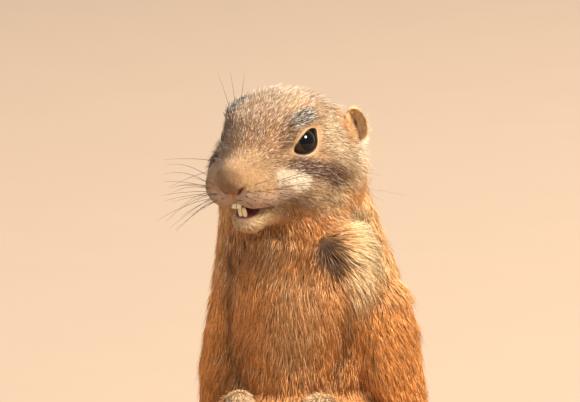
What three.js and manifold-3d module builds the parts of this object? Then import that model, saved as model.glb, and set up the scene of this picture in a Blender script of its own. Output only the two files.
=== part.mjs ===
// A prairie dog at life size, sitting up on its haunches with its forepaws hanging, its head turned
// to its right and its mouth a little open. The solids reach out to the tips of the coat.
// Millimetres, +Z up. The animal faces -Y, so its left side is on +X, and it rests on z = 0.
import * as THREE from "three";
import { mergeVertices } from "three/addons/utils/BufferGeometryUtils.js";
import Module from "manifold-3d";

const wasm = await Module();
wasm.setup();

// Driving dimensions
const GAP = 0.3; // between pieces that touch
const FLOOR = 0;
const EYES_AT = new THREE.Vector3(-8, -39, 244); // the point midway between the eyes
const HEAD_TURN = THREE.MathUtils.degToRad(-14); // to the animal's right
const HEAD_TILT = THREE.MathUtils.degToRad(4); // nose above the level
const JAW_DROP = THREE.MathUtils.degToRad(9);
const EYE_RADIUS = 7;
const SHOULDER_HEIGHT = 180;
const ELBOW_HEIGHT = 126;
const WRIST_HEIGHT = 143;
const KNEE_HEIGHT = 50;
const NECK_CUT = 196; // between neck and chest
const CHEST_CUT = 128; // between chest and belly
const FOOT_SPREAD = 33; // from the middle to the line of each hind foot
const TAIL_LENGTH = 58;

const COLOURS = {
  coat: 0xc98f55,
  face: 0xcaa06c,
  pale: 0xdcc199,
  ear: 0xb98a58,
  eye: 0x1b1310,
  tooth: 0xe2c88e,
  claw: 0x3a2f2a,
  tailTip: 0xe6d7ba,
};

const point = (x, y, z) => new THREE.Vector3(x, y, z);
const ACROSS = point(1, 0, 0);
const material = (color, roughness = 0.9) =>
  new THREE.MeshStandardMaterial({ color, roughness, metalness: 0 });

// Fields: each gives the distance from a point to a soft form, negative inside it

// An ellipsoid of flesh and fur, turned about its own centre
function mass(centre, radii, turn = new THREE.Euler()) {
  const unturn = new THREE.Quaternion().setFromEuler(turn).invert();
  const at = new THREE.Vector3();
  const { x: rx, y: ry, z: rz } = radii;
  return (p) => {
    at.copy(p).sub(centre).applyQuaternion(unturn);
    const share = Math.hypot(at.x / rx, at.y / ry, at.z / rz);
    const slope = Math.hypot(at.x / rx ** 2, at.y / ry ** 2, at.z / rz ** 2);
    return slope < 1e-9 ? -Math.min(rx, ry, rz) : (share * (share - 1)) / slope;
  };
}

// A tapered limb from one joint to the next
function limb(from, to, startRadius, endRadius) {
  const line = new THREE.Line3(from, to);
  const nearest = new THREE.Vector3();
  return (p) => {
    const share = line.closestPointToPointParameter(p, true);
    line.at(share, nearest);
    return nearest.distanceTo(p) - THREE.MathUtils.lerp(startRadius, endRadius, share);
  };
}

// Several forms flowing into one another over the softness
function blended(softness, ...fields) {
  return (p) =>
    fields.reduce((sum, field) => {
      const next = field(p);
      const overlap = Math.max(softness - Math.abs(sum - next), 0) / softness;
      return Math.min(sum, next) - (overlap * overlap * softness) / 4;
    }, Infinity);
}

const ballField = (centre, radius) => (p) => p.distanceTo(centre) - radius;
const grown = (field, by) => (p) => field(p) - by;

// A capsule laid along a guide, each of its points moved straight out to the surface of the field
function wrapped(guide, field, { around, along, caps, across = ACROSS }) {
  const geometry = welded(new THREE.CapsuleGeometry(1, along, caps, around, along));
  const place = geometry.attributes.position;
  const vertex = new THREE.Vector3();
  const outward = new THREE.Vector3();
  const probe = new THREE.Vector3();
  const STEP = 1;
  for (let i = 0; i < place.count; i++) {
    vertex.fromBufferAttribute(place, i);
    const level = THREE.MathUtils.clamp(vertex.y, -along / 2, along / 2);
    const share = level / along + 0.5;
    const origin = guide.getPointAt(share);
    const tangent = guide.getTangentAt(share);
    const side = across.clone().addScaledVector(tangent, -across.dot(tangent)).normalize();
    const front = new THREE.Vector3().crossVectors(tangent, side);
    outward.set(0, 0, 0).addScaledVector(side, vertex.x).addScaledVector(front, vertex.z);
    outward.addScaledVector(tangent, vertex.y - level).normalize();
    const inside = (r) => field(probe.copy(origin).addScaledVector(outward, r)) < 0;
    let low = 0;
    while (inside(low + STEP)) low += STEP;
    let high = low + STEP;
    for (let halving = 0; halving < 16; halving++) {
      const middle = (low + high) / 2;
      if (inside(middle)) low = middle;
      else high = middle;
    }
    probe.copy(origin).addScaledVector(outward, low);
    place.setXYZ(i, probe.x, probe.y, probe.z);
  }
  return solid(geometry);
}

// Solids: closed forms that can be joined and cut

// One vertex at each place, and no face without area, before a form is bent
function welded(geometry) {
  const bare = geometry.clone();
  bare.deleteAttribute("normal");
  bare.deleteAttribute("uv");
  const merged = mergeVertices(bare, 1e-5);
  const index = [...merged.index.array];
  const faces = [];
  for (let i = 0; i < index.length; i += 3) {
    const [a, b, c] = index.slice(i, i + 3);
    if (a !== b && b !== c && c !== a) faces.push(a, b, c);
  }
  merged.setIndex(faces);
  return merged;
}

function solid(geometry) {
  const vertProperties = geometry.attributes.position.array;
  const made = (triVerts) =>
    new wasm.Manifold(
      new wasm.Mesh({ numProp: 3, vertProperties, triVerts: new Uint32Array(triVerts) }),
    );
  const faces = [...geometry.index.array];
  const first = made(faces);
  return first.volume() > 0 ? first : made(faces.reverse());
}

const placed = (geometry, position, quaternion = new THREE.Quaternion()) =>
  welded(geometry).applyMatrix4(
    new THREE.Matrix4().compose(position, quaternion, new THREE.Vector3(1, 1, 1)),
  );

// Everything on the far side of a plane, as one large box
function beyond(onPlane, normal, margin = GAP / 2) {
  const SIZE = 500;
  const direction = normal.clone().normalize();
  const turn = new THREE.Quaternion().setFromUnitVectors(point(0, 0, 1), direction);
  const centre = onPlane.clone().addScaledVector(direction, SIZE / 2 - margin);
  return solid(placed(new THREE.BoxGeometry(SIZE, SIZE, SIZE), centre, turn));
}

// Cuts a solid at a plane, keeping what lies against the normal
const trimmed = (body, onPlane, normal) => body.subtract(beyond(onPlane, normal));
const onFloor = (body) => body.subtract(beyond(point(0, 0, FLOOR), point(0, 0, -1), 0));
const without = (body, ...cutters) => cutters.reduce((left, cutter) => left.subtract(cutter), body);
const opposite = (direction) => direction.clone().negate();
const joined = (first, ...others) => others.reduce((sum, other) => sum.add(other), first);
const largest = (body) =>
  body.decompose().reduce((best, one) => (one.volume() > best.volume() ? one : best));

function node(name, body, look) {
  const { vertProperties, triVerts } = largest(body).getMesh();
  const geometry = new THREE.BufferGeometry();
  geometry.setAttribute("position", new THREE.BufferAttribute(vertProperties, 3));
  geometry.setIndex(new THREE.BufferAttribute(triVerts, 1));
  geometry.computeVertexNormals();
  const mesh = new THREE.Mesh(geometry, look);
  mesh.name = name;
  return mesh;
}

// Pieces are laid down in order, and each leaves room for those before it. A piece is a function of
// how far its outline is grown.
function layer(group) {
  const rooms = [];
  return (name, look, shape) => {
    group.add(node(name, without(shape(0), ...rooms), look));
    rooms.push(shape(GAP));
  };
}

const curve = (...points) => new THREE.CatmullRomCurve3(points);
const between = (from, to) => new THREE.LineCurve3(from, to);
const SIDES = [
  { word: "left", side: 1 },
  { word: "right", side: -1 },
];

// The head's own frame: its origin lies midway between the eyes, +X is the animal's left, -Y its
// nose and +Z its crown. ahead() takes left, up and forward.
const ahead = (left, up, forward) => point(left, -forward, up);
const headGroup = new THREE.Group();
headGroup.name = "head_frame";
headGroup.position.copy(EYES_AT);
headGroup.rotation.set(-HEAD_TILT, 0, HEAD_TURN, "ZYX");
headGroup.updateMatrixWorld(true);
const toHead = (bodyPoint) => headGroup.worldToLocal(bodyPoint.clone());

// Neck, shared by the head and the torso
const NECK_BASE = point(-1.5, 1, 190);
const NECK_TOP = point(-4.2, -12, 228);
const NECK_BASE_RADIUS = 35.5;
const NECK_TOP_RADIUS = 28;
const NAPE = point(0, 18, 226);
const THROAT = point(-6, -32, 209);
const TO_HEAD = new THREE.Vector3().subVectors(NAPE, THROAT).cross(ACROSS).negate().normalize();

// Head

const EYE_CENTRE = ahead(12.3, 0.9, -2.6);
const EYE_AXIS = ahead(0.89, 0.14, 0.44).normalize();
const LID_THICKNESS = 0.65;
const OPENING = { halfLength: 7, halfHeight: 4.7, slant: THREE.MathUtils.degToRad(38) };
const mirror = (p, side) => point(p.x * side, p.y, p.z);

function headField(throat, downNeck) {
  const forms = [
    mass(ahead(0, 1, 0), point(15.5, 18, 13.5)), // forehead
    mass(ahead(0, 2.5, -15), point(15, 19, 17.6)), // top of the crown
    limb(ahead(0, -4, 2), ahead(0, -10.8, 21.5), 13.5, 8.3), // muzzle
    mass(ahead(0, -8, -14), point(24, 21, 17)), // back of the jaws
    limb(toHead(NECK_BASE), toHead(NECK_TOP), NECK_BASE_RADIUS, NECK_TOP_RADIUS),
  ];
  for (const { side } of SIDES) {
    forms.push(mass(ahead(7.5 * side, 2.5, -17.5), point(16, 18.5, 17.2))); // crown
    forms.push(mass(ahead(10.5 * side, 8.5, -1), point(6, 9, 4.6))); // brow
    forms.push(mass(ahead(14 * side, 10.8, -8), point(5.5, 8, 4.8))); // ridge over the eye
    forms.push(mass(ahead(15.5 * side, -12.5, -7), point(10.5, 15, 12))); // cheek
    forms.push(mass(ahead(18 * side, -13, -23), point(12.5, 15, 17))); // jowl
    forms.push(mass(ahead(9.5 * side, -13.5, 10), point(7.5, 12, 9.2))); // upper lip
    forms.push(mass(ahead(6.8 * side, -16.2, 19.5), point(7.4, 8.6, 7.2))); // whisker pad
  }
  const orbits = SIDES.map(({ side }) => ballField(mirror(EYE_CENTRE, side), EYE_RADIUS + 0.9));
  const nose = mass(ahead(0, -11.4, 27.4), point(6.5, 6.8, 7));
  const flesh = blended(2, blended(6, ...forms), nose, ...orbits);
  const PAST_CUT = 7;
  return (p) => Math.max(flesh(p), p.clone().sub(throat).dot(downNeck) - PAST_CUT);
}

// The frame of one eye: long runs from the inner corner to the outer, high from lid to lid
function eyeFrame(side) {
  const axis = mirror(EYE_AXIS, side);
  const level = new THREE.Vector3().crossVectors(point(0, 0, side), axis).normalize();
  const rise = new THREE.Vector3().crossVectors(axis, level).multiplyScalar(side).normalize();
  const { slant } = OPENING;
  const long = level.clone().multiplyScalar(Math.cos(slant)).addScaledVector(rise, Math.sin(slant));
  const high = rise.clone().multiplyScalar(Math.cos(slant)).addScaledVector(level, -Math.sin(slant));
  return { centre: mirror(EYE_CENTRE, side), axis, long, high };
}

// The line that the lids follow on a ball about the eye, pointed at both corners
function lidPoint(angle, frame, ballRadius) {
  const along = OPENING.halfLength * Math.cos(angle);
  const over = OPENING.halfHeight * Math.sin(angle) * Math.abs(Math.sin(angle)) ** 0.25;
  const out = Math.sqrt(ballRadius ** 2 - along ** 2 - over ** 2);
  return frame.centre
    .clone()
    .addScaledVector(frame.long, along)
    .addScaledVector(frame.high, over)
    .addScaledVector(frame.axis, out);
}

// A ring of lid laid over the eyeball
function lids(side) {
  const TUBE = 0.5;
  const frame = eyeFrame(side);
  const ring = welded(new THREE.TorusGeometry(1, TUBE, 6, 20));
  const place = ring.attributes.position;
  for (let i = 0; i < place.count; i++) {
    const x = place.getX(i);
    const y = place.getY(i);
    const spread = (Math.hypot(x, y) - 1) / TUBE;
    const lift = place.getZ(i) / TUBE;
    const at = lidPoint(Math.atan2(y, x), frame, EYE_RADIUS + GAP + LID_THICKNESS);
    const away = at.clone().sub(frame.centre).normalize();
    const inward = frame.axis.clone().addScaledVector(away, -frame.axis.dot(away)).normalize();
    at.addScaledVector(inward, -spread * LID_THICKNESS).addScaledVector(away, lift * LID_THICKNESS);
    place.setXYZ(i, at.x, at.y, at.z);
  }
  return solid(ring);
}

// The opening between the lids, a spindle cut out along the line of sight
function lidOpening(side) {
  const DEPTH = 5;
  const frame = eyeFrame(side);
  const spindle = welded(new THREE.SphereGeometry(1, 16, 6));
  const place = spindle.attributes.position;
  for (let i = 0; i < place.count; i++) {
    const at = frame.centre
      .clone()
      .addScaledVector(frame.long, place.getX(i) * (OPENING.halfLength - LID_THICKNESS / 2))
      .addScaledVector(frame.high, place.getY(i) * (OPENING.halfHeight - LID_THICKNESS / 2))
      .addScaledVector(frame.axis, place.getZ(i) * DEPTH + EYE_RADIUS + LID_THICKNESS);
    place.setXYZ(i, at.x, at.y, at.z);
  }
  return solid(spindle);
}

const ball = (centre, radius, around = 14) =>
  solid(placed(new THREE.SphereGeometry(radius, around, Math.round(around * 0.65)), centre));

// Ears: a low cup turned about its axis from a closed profile, then narrowed
const EAR_AT = ahead(21.5, 6.4, -30.3);
const EAR_AXIS = ahead(0.8, 0.08, 0.6).normalize();
const EAR = { rim: 6.3, height: 5.2, wall: 1.3, cup: 4.6, root: 6, narrow: 0.78, tall: 1.06 };

function earSolid(side, extra) {
  const { rim, height, wall, cup, root } = EAR;
  const outside = [
    [0, -root - extra],
    [rim * 0.55 + extra, -root - extra],
    [rim * 0.72 + extra, -1.5],
    [rim * 0.92 + extra, 1.8],
    [rim + extra, height * 0.62],
    [rim * 0.98 + extra, height * 0.92 + extra],
    [rim - wall * 0.6 + extra, height + extra],
  ];
  const hollow = [
    [rim - wall, height * 0.85],
    [rim - wall * 1.4, height - cup * 0.62],
    [rim * 0.42, height - cup],
    [0, height - cup - 0.4],
  ];
  const filled = [[0, height + extra]];
  const profile = [...outside, ...(extra ? filled : hollow)].map(([r, h]) => new THREE.Vector2(r, h));
  const axis = mirror(EAR_AXIS, side);
  const level = new THREE.Vector3().crossVectors(point(0, 0, 1), axis).normalize();
  const rise = new THREE.Vector3().crossVectors(axis, level);
  const turn = new THREE.Matrix4().makeBasis(
    level.multiplyScalar(EAR.narrow),
    axis,
    rise.multiplyScalar(-EAR.tall),
  );
  turn.setPosition(mirror(EAR_AT, side));
  return solid(welded(new THREE.LatheGeometry(profile, 16)).applyMatrix4(turn));
}

// Mouth: the jaw turns open about its joint, and the head is cleared along its way
const JAW_JOINT = ahead(0, -9, -18);
const dropped = (p, angle) =>
  p.clone().sub(JAW_JOINT).applyAxisAngle(ACROSS, angle).add(JAW_JOINT);
const JAW_LINE = [ahead(0, -21, -4), ahead(0, -22, 6), ahead(0, -23, 16)];
const shutJaw = blended(
  4,
  limb(ahead(0, -20, -8), ahead(0, -23, 13), 10.5, 5.4),
  mass(ahead(0, -23.4, 15.5), point(6.2, 6.4, 5)),
);

function jawSolid(angle, extra) {
  const guide = curve(...JAW_LINE.map((p) => dropped(p, angle)));
  const field = (p) => shutJaw(dropped(p, -angle));
  return wrapped(guide, grown(field, extra), { around: 16, along: 6, caps: 4 });
}

// Two front teeth side by side, as one bowed piece with a groove between them and a chisel edge
function incisors(root, edge, { width, bow }, extra) {
  const DEPTH = 1.9;
  const GROOVE = 0.55;
  const EDGE = 0.45;
  const block = new THREE.BoxGeometry(width + 2 * extra, DEPTH + 2 * extra, 1, 4, 1, 4);
  const geometry = welded(block);
  const place = geometry.attributes.position;
  const line = new THREE.Line3(root, edge);
  for (let i = 0; i < place.count; i++) {
    const share = place.getZ(i) + 0.5;
    const across = place.getX(i) * (1 - 0.12 * share);
    const groove = Math.abs(across) < 0.2 && !extra ? GROOVE : 1;
    const thin = THREE.MathUtils.lerp(1, EDGE, share ** 3);
    const at = line.at(share * (1 + extra / line.distance()), point(0, 0, 0));
    at.x += across;
    at.y += place.getY(i) * groove * thin - bow * Math.sin(Math.PI * share);
    place.setXYZ(i, at.x, at.y, at.z);
  }
  return solid(geometry);
}

const UPPER_TEETH = { width: 4.2, bow: 0.8 };
const LOWER_TEETH = { width: 3.6, bow: -0.4 };

// The cleft of the upper lip and the two nostrils
function noseCuts() {
  const CLEFT = point(0.55, 4, 4.4);
  const NOSTRIL = point(0.75, 2.2, 1.5);
  const cut = (size, at, turn) => {
    const form = new THREE.SphereGeometry(1, 10, 6).scale(size.x, size.y, size.z);
    return solid(placed(form, at, new THREE.Quaternion().setFromEuler(turn)));
  };
  const nostrils = SIDES.map(({ side }) =>
    cut(NOSTRIL, ahead(3 * side, -15.4, 31), new THREE.Euler(0.3, 0.75 * side, 0.45 * side)),
  );
  return [cut(CLEFT, ahead(0, -19.8, 27.5), new THREE.Euler()), ...nostrils];
}

function buildHead(lay) {
  const face = material(COLOURS.face);
  const tooth = material(COLOURS.tooth, 0.35);
  lay("lower_incisors", tooth, (extra) =>
    incisors(
      dropped(ahead(0, -24.5, 15.5), JAW_DROP),
      dropped(ahead(0, -17, 19.6), JAW_DROP),
      LOWER_TEETH,
      extra,
    ),
  );
  lay("upper_incisors", tooth, (extra) =>
    incisors(ahead(0, -16, 20.8), ahead(0, -24, 23.2), UPPER_TEETH, extra),
  );
  lay("lower_jaw", face, (extra) => jawSolid(JAW_DROP, extra));
  for (const { word, side } of SIDES) {
    lay(`eye_${word}`, material(COLOURS.eye, 0.08), (extra) =>
      ball(mirror(EYE_CENTRE, side), EYE_RADIUS + extra),
    );
    lay(`ear_${word}`, material(COLOURS.ear), (extra) => earSolid(side, extra));
  }
  lay("head", face, () => {
    const guide = curve(ahead(0, -3, -17), ahead(0, -5, 0), ahead(0, -11, 16));
    const throat = toHead(THROAT);
    const downNeck = opposite(toHead(THROAT.clone().add(TO_HEAD)).sub(throat));
    const coat = wrapped(guide, headField(throat, downNeck), { around: 32, along: 10, caps: 6 });
    const lidded = joined(coat, ...SIDES.map(({ side }) => lids(side)));
    const openings = SIDES.map(({ side }) => lidOpening(side));
    const steps = [0, 0.5];
    const jawWay = steps.map((step) => jawSolid(JAW_DROP * step, GAP));
    return trimmed(without(lidded, ...openings, ...noseCuts(), ...jawWay), throat, downNeck);
  });
}

// Limbs

// The plane that halves the bend at a middle joint, facing the far joint
const halfway = (from, middle, to) =>
  new THREE.Vector3()
    .subVectors(middle, from)
    .normalize()
    .add(new THREE.Vector3().subVectors(to, middle).normalize())
    .normalize();

// A paw's toe is a short tapered limb, and its claw a bent cone that starts inside the toe
function toeSolid(from, to, thick, extra) {
  const shape = { around: 6, along: 1, caps: 2 };
  return wrapped(between(from, to), grown(limb(from, to, thick, thick * 0.86), extra), shape);
}

function clawSolid(from, heading, curl, length, thick) {
  const CURVE = 0.28;
  const cone = welded(new THREE.ConeGeometry(thick, length, 6, 3).translate(0, length / 2, 0));
  const place = cone.attributes.position;
  const direction = heading.clone().normalize();
  const side = new THREE.Vector3().crossVectors(direction, curl).normalize();
  const under = new THREE.Vector3().crossVectors(side, direction);
  for (let i = 0; i < place.count; i++) {
    const share = place.getY(i) / length;
    const at = from
      .clone()
      .addScaledVector(direction, place.getY(i))
      .addScaledVector(side, place.getX(i) * 0.8)
      .addScaledVector(under, place.getZ(i) + CURVE * length * share ** 2);
    place.setXYZ(i, at.x, at.y, at.z);
  }
  return solid(cone);
}

function armJoints(side) {
  const reach = side > 0 ? 13 : 18; // the right paw hangs further from the middle
  const wrist = point(reach * side, -40, WRIST_HEIGHT);
  return {
    shoulder: point(side > 0 ? 26 : -25, -4, SHOULDER_HEIGHT),
    elbow: point(side > 0 ? 44 : -33, -9, ELBOW_HEIGHT),
    wrist,
    palm: wrist.clone().add(point(-0.5 * side, -3.5, -7)),
  };
}

function buildArm(lay, side, word) {
  const { shoulder, elbow, wrist, palm } = armJoints(side);
  const look = material(COLOURS.coat);
  const claw = material(COLOURS.claw, 0.4);
  const shape = { around: 12, along: 4, caps: 3 };
  const upper = blended(
    6,
    limb(shoulder, elbow, 13, 10),
    mass(shoulder.clone().lerp(elbow, 0.35), point(14, 15, 27)),
  );
  const fore = limb(elbow, wrist, 9.5, 6);
  const elbowBend = halfway(shoulder, elbow, wrist);
  const wristBend = halfway(elbow, wrist, palm);
  const FINGER_LENGTHS = [8.6, 10.6, 10.2, 8.2]; // from the inside of the paw
  const FINGER_STEP = 3.1;
  const fingers = FINGER_LENGTHS.map((length, i) => {
    const spread = (i - (FINGER_LENGTHS.length - 1) / 2) * FINGER_STEP * side;
    const base = palm.clone().add(point(spread, -0.6, -4));
    const knuckle = base.clone().add(point(spread * 0.22, -1.8, -length / 2));
    const tip = knuckle.clone().add(point(spread * 0.08, 0.6, -length / 2));
    return { joints: [base, knuckle, tip], lean: spread * 0.04, thick: 1.85, nail: 8.2 };
  });
  const thumbBase = palm.clone().add(point(-5.2 * side, -0.5, 0.5));
  const thumbTip = thumbBase.clone().add(point(-1.2 * side, -1.2, -3));
  fingers.push({ joints: [thumbBase, thumbTip], lean: -0.2 * side, thick: 1.6, nail: 5 });

  lay(`upper_arm_${word}`, look, (extra) =>
    trimmed(wrapped(between(shoulder, elbow), grown(upper, extra), shape), elbow, elbowBend),
  );
  lay(`forearm_${word}`, look, (extra) => {
    const whole = wrapped(between(elbow, wrist), grown(fore, extra), shape);
    return trimmed(trimmed(whole, elbow, opposite(elbowBend)), wrist, wristBend);
  });
  lay(`forepaw_${word}`, material(COLOURS.pale), (extra) => {
    const field = blended(3, limb(wrist, palm, 6, 5.2), mass(palm, point(6.6, 4.8, 6.6)));
    const whole = wrapped(between(wrist, palm), grown(field, extra), { around: 10, along: 2, caps: 3 });
    const toes = fingers.flatMap(({ joints, thick }) =>
      joints.slice(1).map((joint, i) => toeSolid(joints[i], joint, thick, extra)),
    );
    return joined(trimmed(whole, wrist, opposite(wristBend)), ...toes);
  });
  fingers.forEach(({ joints, lean, nail, thick }, i) => {
    lay(`claw_forepaw_${word}_${i + 1}`, claw, () =>
      clawSolid(joints.at(-1), point(lean, 0.1, -1), point(0, 1, 0), nail, thick * 0.62),
    );
  });
}

function legJoints(side) {
  const TOES_OUT = THREE.MathUtils.degToRad(9);
  const SOLE = 43; // from the ankle to the ball of the foot
  const ankle = point(FOOT_SPREAD * side, 18, 8);
  const forward = point(Math.sin(TOES_OUT) * side, -Math.cos(TOES_OUT), 0);
  return {
    hip: point(34 * side, 18, 54),
    knee: point(38 * side, -17, KNEE_HEIGHT),
    shin: point(38 * side, -13, KNEE_HEIGHT - 14),
    ankle,
    ball: ankle.clone().addScaledVector(forward, SOLE).setZ(5.2),
    forward,
  };
}

function buildLeg(lay, side, word) {
  const { hip, knee, shin, ankle, ball: sole, forward } = legJoints(side);
  const look = material(COLOURS.coat);
  const claw = material(COLOURS.claw, 0.4);
  const thigh = blended(
    8,
    limb(hip, knee, 19, 15),
    mass(hip.clone().lerp(knee, 0.45), point(18.5, 36, 33)),
  );
  const shank = limb(shin, ankle, 14, 9);
  const foot = blended(
    4,
    limb(ankle, sole, 8.4, 6.6),
    mass(sole.clone().lerp(ankle, 0.12), point(9, 13, 6.6)),
  );
  const TOE_LENGTHS = [8.5, 12, 13, 12, 8.5]; // from the inside of the foot
  const TOE_STEP = 3.7;
  const TOE_THICKNESS = 2.6;
  const sideways = point(-forward.y * side, forward.x * side, 0).multiplyScalar(side);
  const toes = TOE_LENGTHS.map((length, i) => {
    const step = i - (TOE_LENGTHS.length - 1) / 2;
    const base = sole.clone().addScaledVector(sideways, step * TOE_STEP);
    base.addScaledVector(forward, 2 - Math.abs(step) * 1.8).setZ(4.2);
    const tip = base.clone().addScaledVector(forward, length).addScaledVector(sideways, step);
    return { base, tip: tip.setZ(2.1) };
  });

  lay(`hind_foot_${word}`, material(COLOURS.pale), (extra) => {
    const whole = wrapped(between(ankle, sole), grown(foot, extra), { around: 12, along: 5, caps: 3 });
    const all = joined(whole, ...toes.map(({ base, tip }) => toeSolid(base, tip, TOE_THICKNESS, extra)));
    return extra ? all : onFloor(all);
  });
  toes.forEach(({ tip }, i) => {
    lay(`claw_hind_${word}_${i + 1}`, claw, () =>
      onFloor(clawSolid(tip.clone().setZ(2.5), forward, point(0, 0, -1), 8, 1.4)),
    );
  });
  lay(`thigh_${word}`, look, (extra) =>
    onFloor(wrapped(between(hip, knee), grown(thigh, extra), { around: 18, along: 7, caps: 5 })),
  );
  lay(`lower_leg_${word}`, look, (extra) =>
    onFloor(wrapped(between(shin, ankle), grown(shank, extra), { around: 12, along: 5, caps: 3 })),
  );
}

// Tail, laid along the floor behind
function buildTail(lay) {
  const ROOT = point(0, 54, 17);
  const MIDDLE = point(1.5, 54 + TAIL_LENGTH * 0.45, 9.5);
  const END = point(4, 54 + TAIL_LENGTH * 0.86, 8);
  const PALE_FROM = 0.35; // share of the second half that keeps the coat's colour
  const field = blended(8, limb(ROOT, MIDDLE, 12, 9.6), limb(MIDDLE, END, 9.6, 7.6));
  const whole = (extra) =>
    onFloor(wrapped(curve(ROOT, MIDDLE, END), grown(field, extra), { around: 14, along: 8, caps: 4 }));
  const cut = MIDDLE.clone().lerp(END, PALE_FROM);
  const back = point(0.05, 1, -0.08);
  lay("tail_tip", material(COLOURS.tailTip), (extra) => trimmed(whole(extra), cut, opposite(back)));
  lay("tail_base", material(COLOURS.coat), (extra) => trimmed(whole(extra), cut, back));
}

function buildTorso(lay) {
  const forms = [
    mass(point(-1, 1, 166), point(34, 33, 44)), // chest
    mass(point(0, -2, 93), point(47.5, 45, 60)), // belly
    mass(point(0, 17, 46), point(50, 43, 48)), // rump
    mass(point(-1, 20, 122), point(36, 26, 70)), // back
    mass(point(34, 8, 74), point(18, 28, 28)), // left flank
    mass(point(-34, 8, 74), point(18, 28, 28)), // right flank
    limb(NECK_BASE, NECK_TOP, NECK_BASE_RADIUS, NECK_TOP_RADIUS),
  ];
  const guide = curve(point(0, 14, 42), point(0, 8, 100), point(0, 6, 160), NECK_BASE, NECK_TOP);
  const shape = { around: 26, along: 14, caps: 5 };
  const whole = onFloor(wrapped(guide, blended(14, ...forms), shape));
  const look = material(COLOURS.coat);
  const up = point(0, 0, 1);
  const neckLow = point(0, 0, NECK_CUT);
  const chestLow = point(0, 0, CHEST_CUT);
  lay("neck", look, () => trimmed(trimmed(whole, THROAT, TO_HEAD), neckLow, opposite(up)));
  lay("chest", look, () => trimmed(trimmed(whole, neckLow, up), chestLow, opposite(up)));
  lay("belly", look, () => trimmed(whole, chestLow, up));
}

// The whole animal

const animal = new THREE.Group();
const layBody = layer(animal);
for (const { word, side } of SIDES) {
  buildArm(layBody, side, word);
  buildLeg(layBody, side, word);
}
buildTail(layBody);
buildTorso(layBody);
buildHead(layer(headGroup));
animal.add(headGroup);

// The origin lies under the middle of the whole outline
const outline = new THREE.Box3().setFromObject(animal, true);
const middle = outline.getCenter(point(0, 0, 0));
animal.position.set(-middle.x, -middle.y, -outline.min.z);

const prairieDog = new THREE.Group();
prairieDog.name = "prairie_dog";
prairieDog.add(animal);

export default prairieDog;
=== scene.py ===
from itertools import product
from math import cos, pi, radians, sin

import bmesh
import bpy
import numpy as np
from bpy.props import FloatProperty, FloatVectorProperty, IntProperty, PointerProperty
from bpy.types import Operator, Panel, PropertyGroup
from mathutils import Matrix, Vector
from mathutils.bvhtree import BVHTree
from mathutils.kdtree import KDTree


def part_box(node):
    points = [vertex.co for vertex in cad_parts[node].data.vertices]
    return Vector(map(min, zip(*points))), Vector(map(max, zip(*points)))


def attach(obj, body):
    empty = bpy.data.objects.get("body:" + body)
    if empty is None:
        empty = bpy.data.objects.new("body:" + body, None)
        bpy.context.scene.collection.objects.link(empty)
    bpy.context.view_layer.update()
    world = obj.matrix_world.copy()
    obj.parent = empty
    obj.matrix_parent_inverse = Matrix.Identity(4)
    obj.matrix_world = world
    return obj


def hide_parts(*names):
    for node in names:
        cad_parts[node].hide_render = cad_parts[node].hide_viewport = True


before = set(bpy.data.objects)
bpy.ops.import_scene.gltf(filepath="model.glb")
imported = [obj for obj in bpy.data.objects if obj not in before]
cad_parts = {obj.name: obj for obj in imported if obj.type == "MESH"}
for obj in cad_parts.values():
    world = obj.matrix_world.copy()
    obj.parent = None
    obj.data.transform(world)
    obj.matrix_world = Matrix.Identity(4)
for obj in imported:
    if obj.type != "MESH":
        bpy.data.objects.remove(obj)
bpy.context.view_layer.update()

bl_info = {
    "name": "Prairie dog",
    "version": (1, 0, 0),
    "blender": (4, 5, 0),
    "location": "View3D > Sidebar > Prairie dog",
    "description": "Skin, coat, eyes, whiskers, claws and teeth of a life-size prairie dog",
    "category": "Mesh",
}

# Lengths in this file are in millimetres unless a name says otherwise. The animal faces -Y, its
# left side is +X and it rests on z = 0.
MM = 0.001
SIDES = {"left": 1, "right": -1}

# The head's own frame, as in the solids: midway between the eyes, turned and tilted
HEAD_TURN = radians(-14)
HEAD_TILT = radians(4)
EYE_CENTRE = (12.3, 0.9, -2.6)  # left, up, forward
EYE_AXIS = (0.89, 0.14, 0.44)
EYE_RADIUS = 7.0
LID_LENGTH = 6.7  # half of the opening, corner to corner
LID_MIDDLE = (0.25, 0.25)  # of the line between the corners: along it and over it
LID_HEIGHTS = (3.0, 4.5)  # from that line to the upper lid and to the lower
LID_SLANT = radians(38)


def unit(vectors):
    return vectors / np.maximum(np.linalg.norm(vectors, axis=-1, keepdims=True), 1e-9)


def smooth(x, low, high):
    """0 below low, 1 above high and a soft step between them."""
    t = np.clip((x - low) / (high - low), 0, 1)
    return t * t * (3 - 2 * t)


def rotation(turn, tilt):
    about_z = Matrix.Rotation(turn, 3, "Z")
    about_x = Matrix.Rotation(-tilt, 3, "X")
    return np.array(about_z @ about_x)


HEAD_AXES = rotation(HEAD_TURN, HEAD_TILT)


def head_vector(luf):
    """A direction given as left, up, forward of the head, in the model's axes."""
    left, up, forward = np.moveaxis(np.asarray(luf, float), -1, 0)
    return np.stack([left, -forward, up], -1) @ HEAD_AXES.T


def eyes_middle():
    centres = [(sum(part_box(f"eye_{word}"), Vector())) / 2 for word in SIDES]
    return np.array(sum(centres, Vector())) / 2 / MM


HEAD_AT = eyes_middle() - head_vector((0, EYE_CENTRE[1], EYE_CENTRE[2]))
BODY_SHIFT = HEAD_AT - np.array((-8, -39, 244))  # from the axis of the stance to the middle of the box


def from_head(luf):
    return HEAD_AT + head_vector(luf)


def to_head(points):
    """Left, up and forward of the head for points of the model."""
    local = (points - HEAD_AT) @ HEAD_AXES
    return np.stack([local[..., 0], local[..., 2], -local[..., 1]], -1)


def stance(x, y, z):
    """A point given from the axis of the stance."""
    return np.array((x, y, z), float) + BODY_SHIFT


def mirrored(luf, side):
    return (luf[0] * side, luf[1], luf[2])


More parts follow.
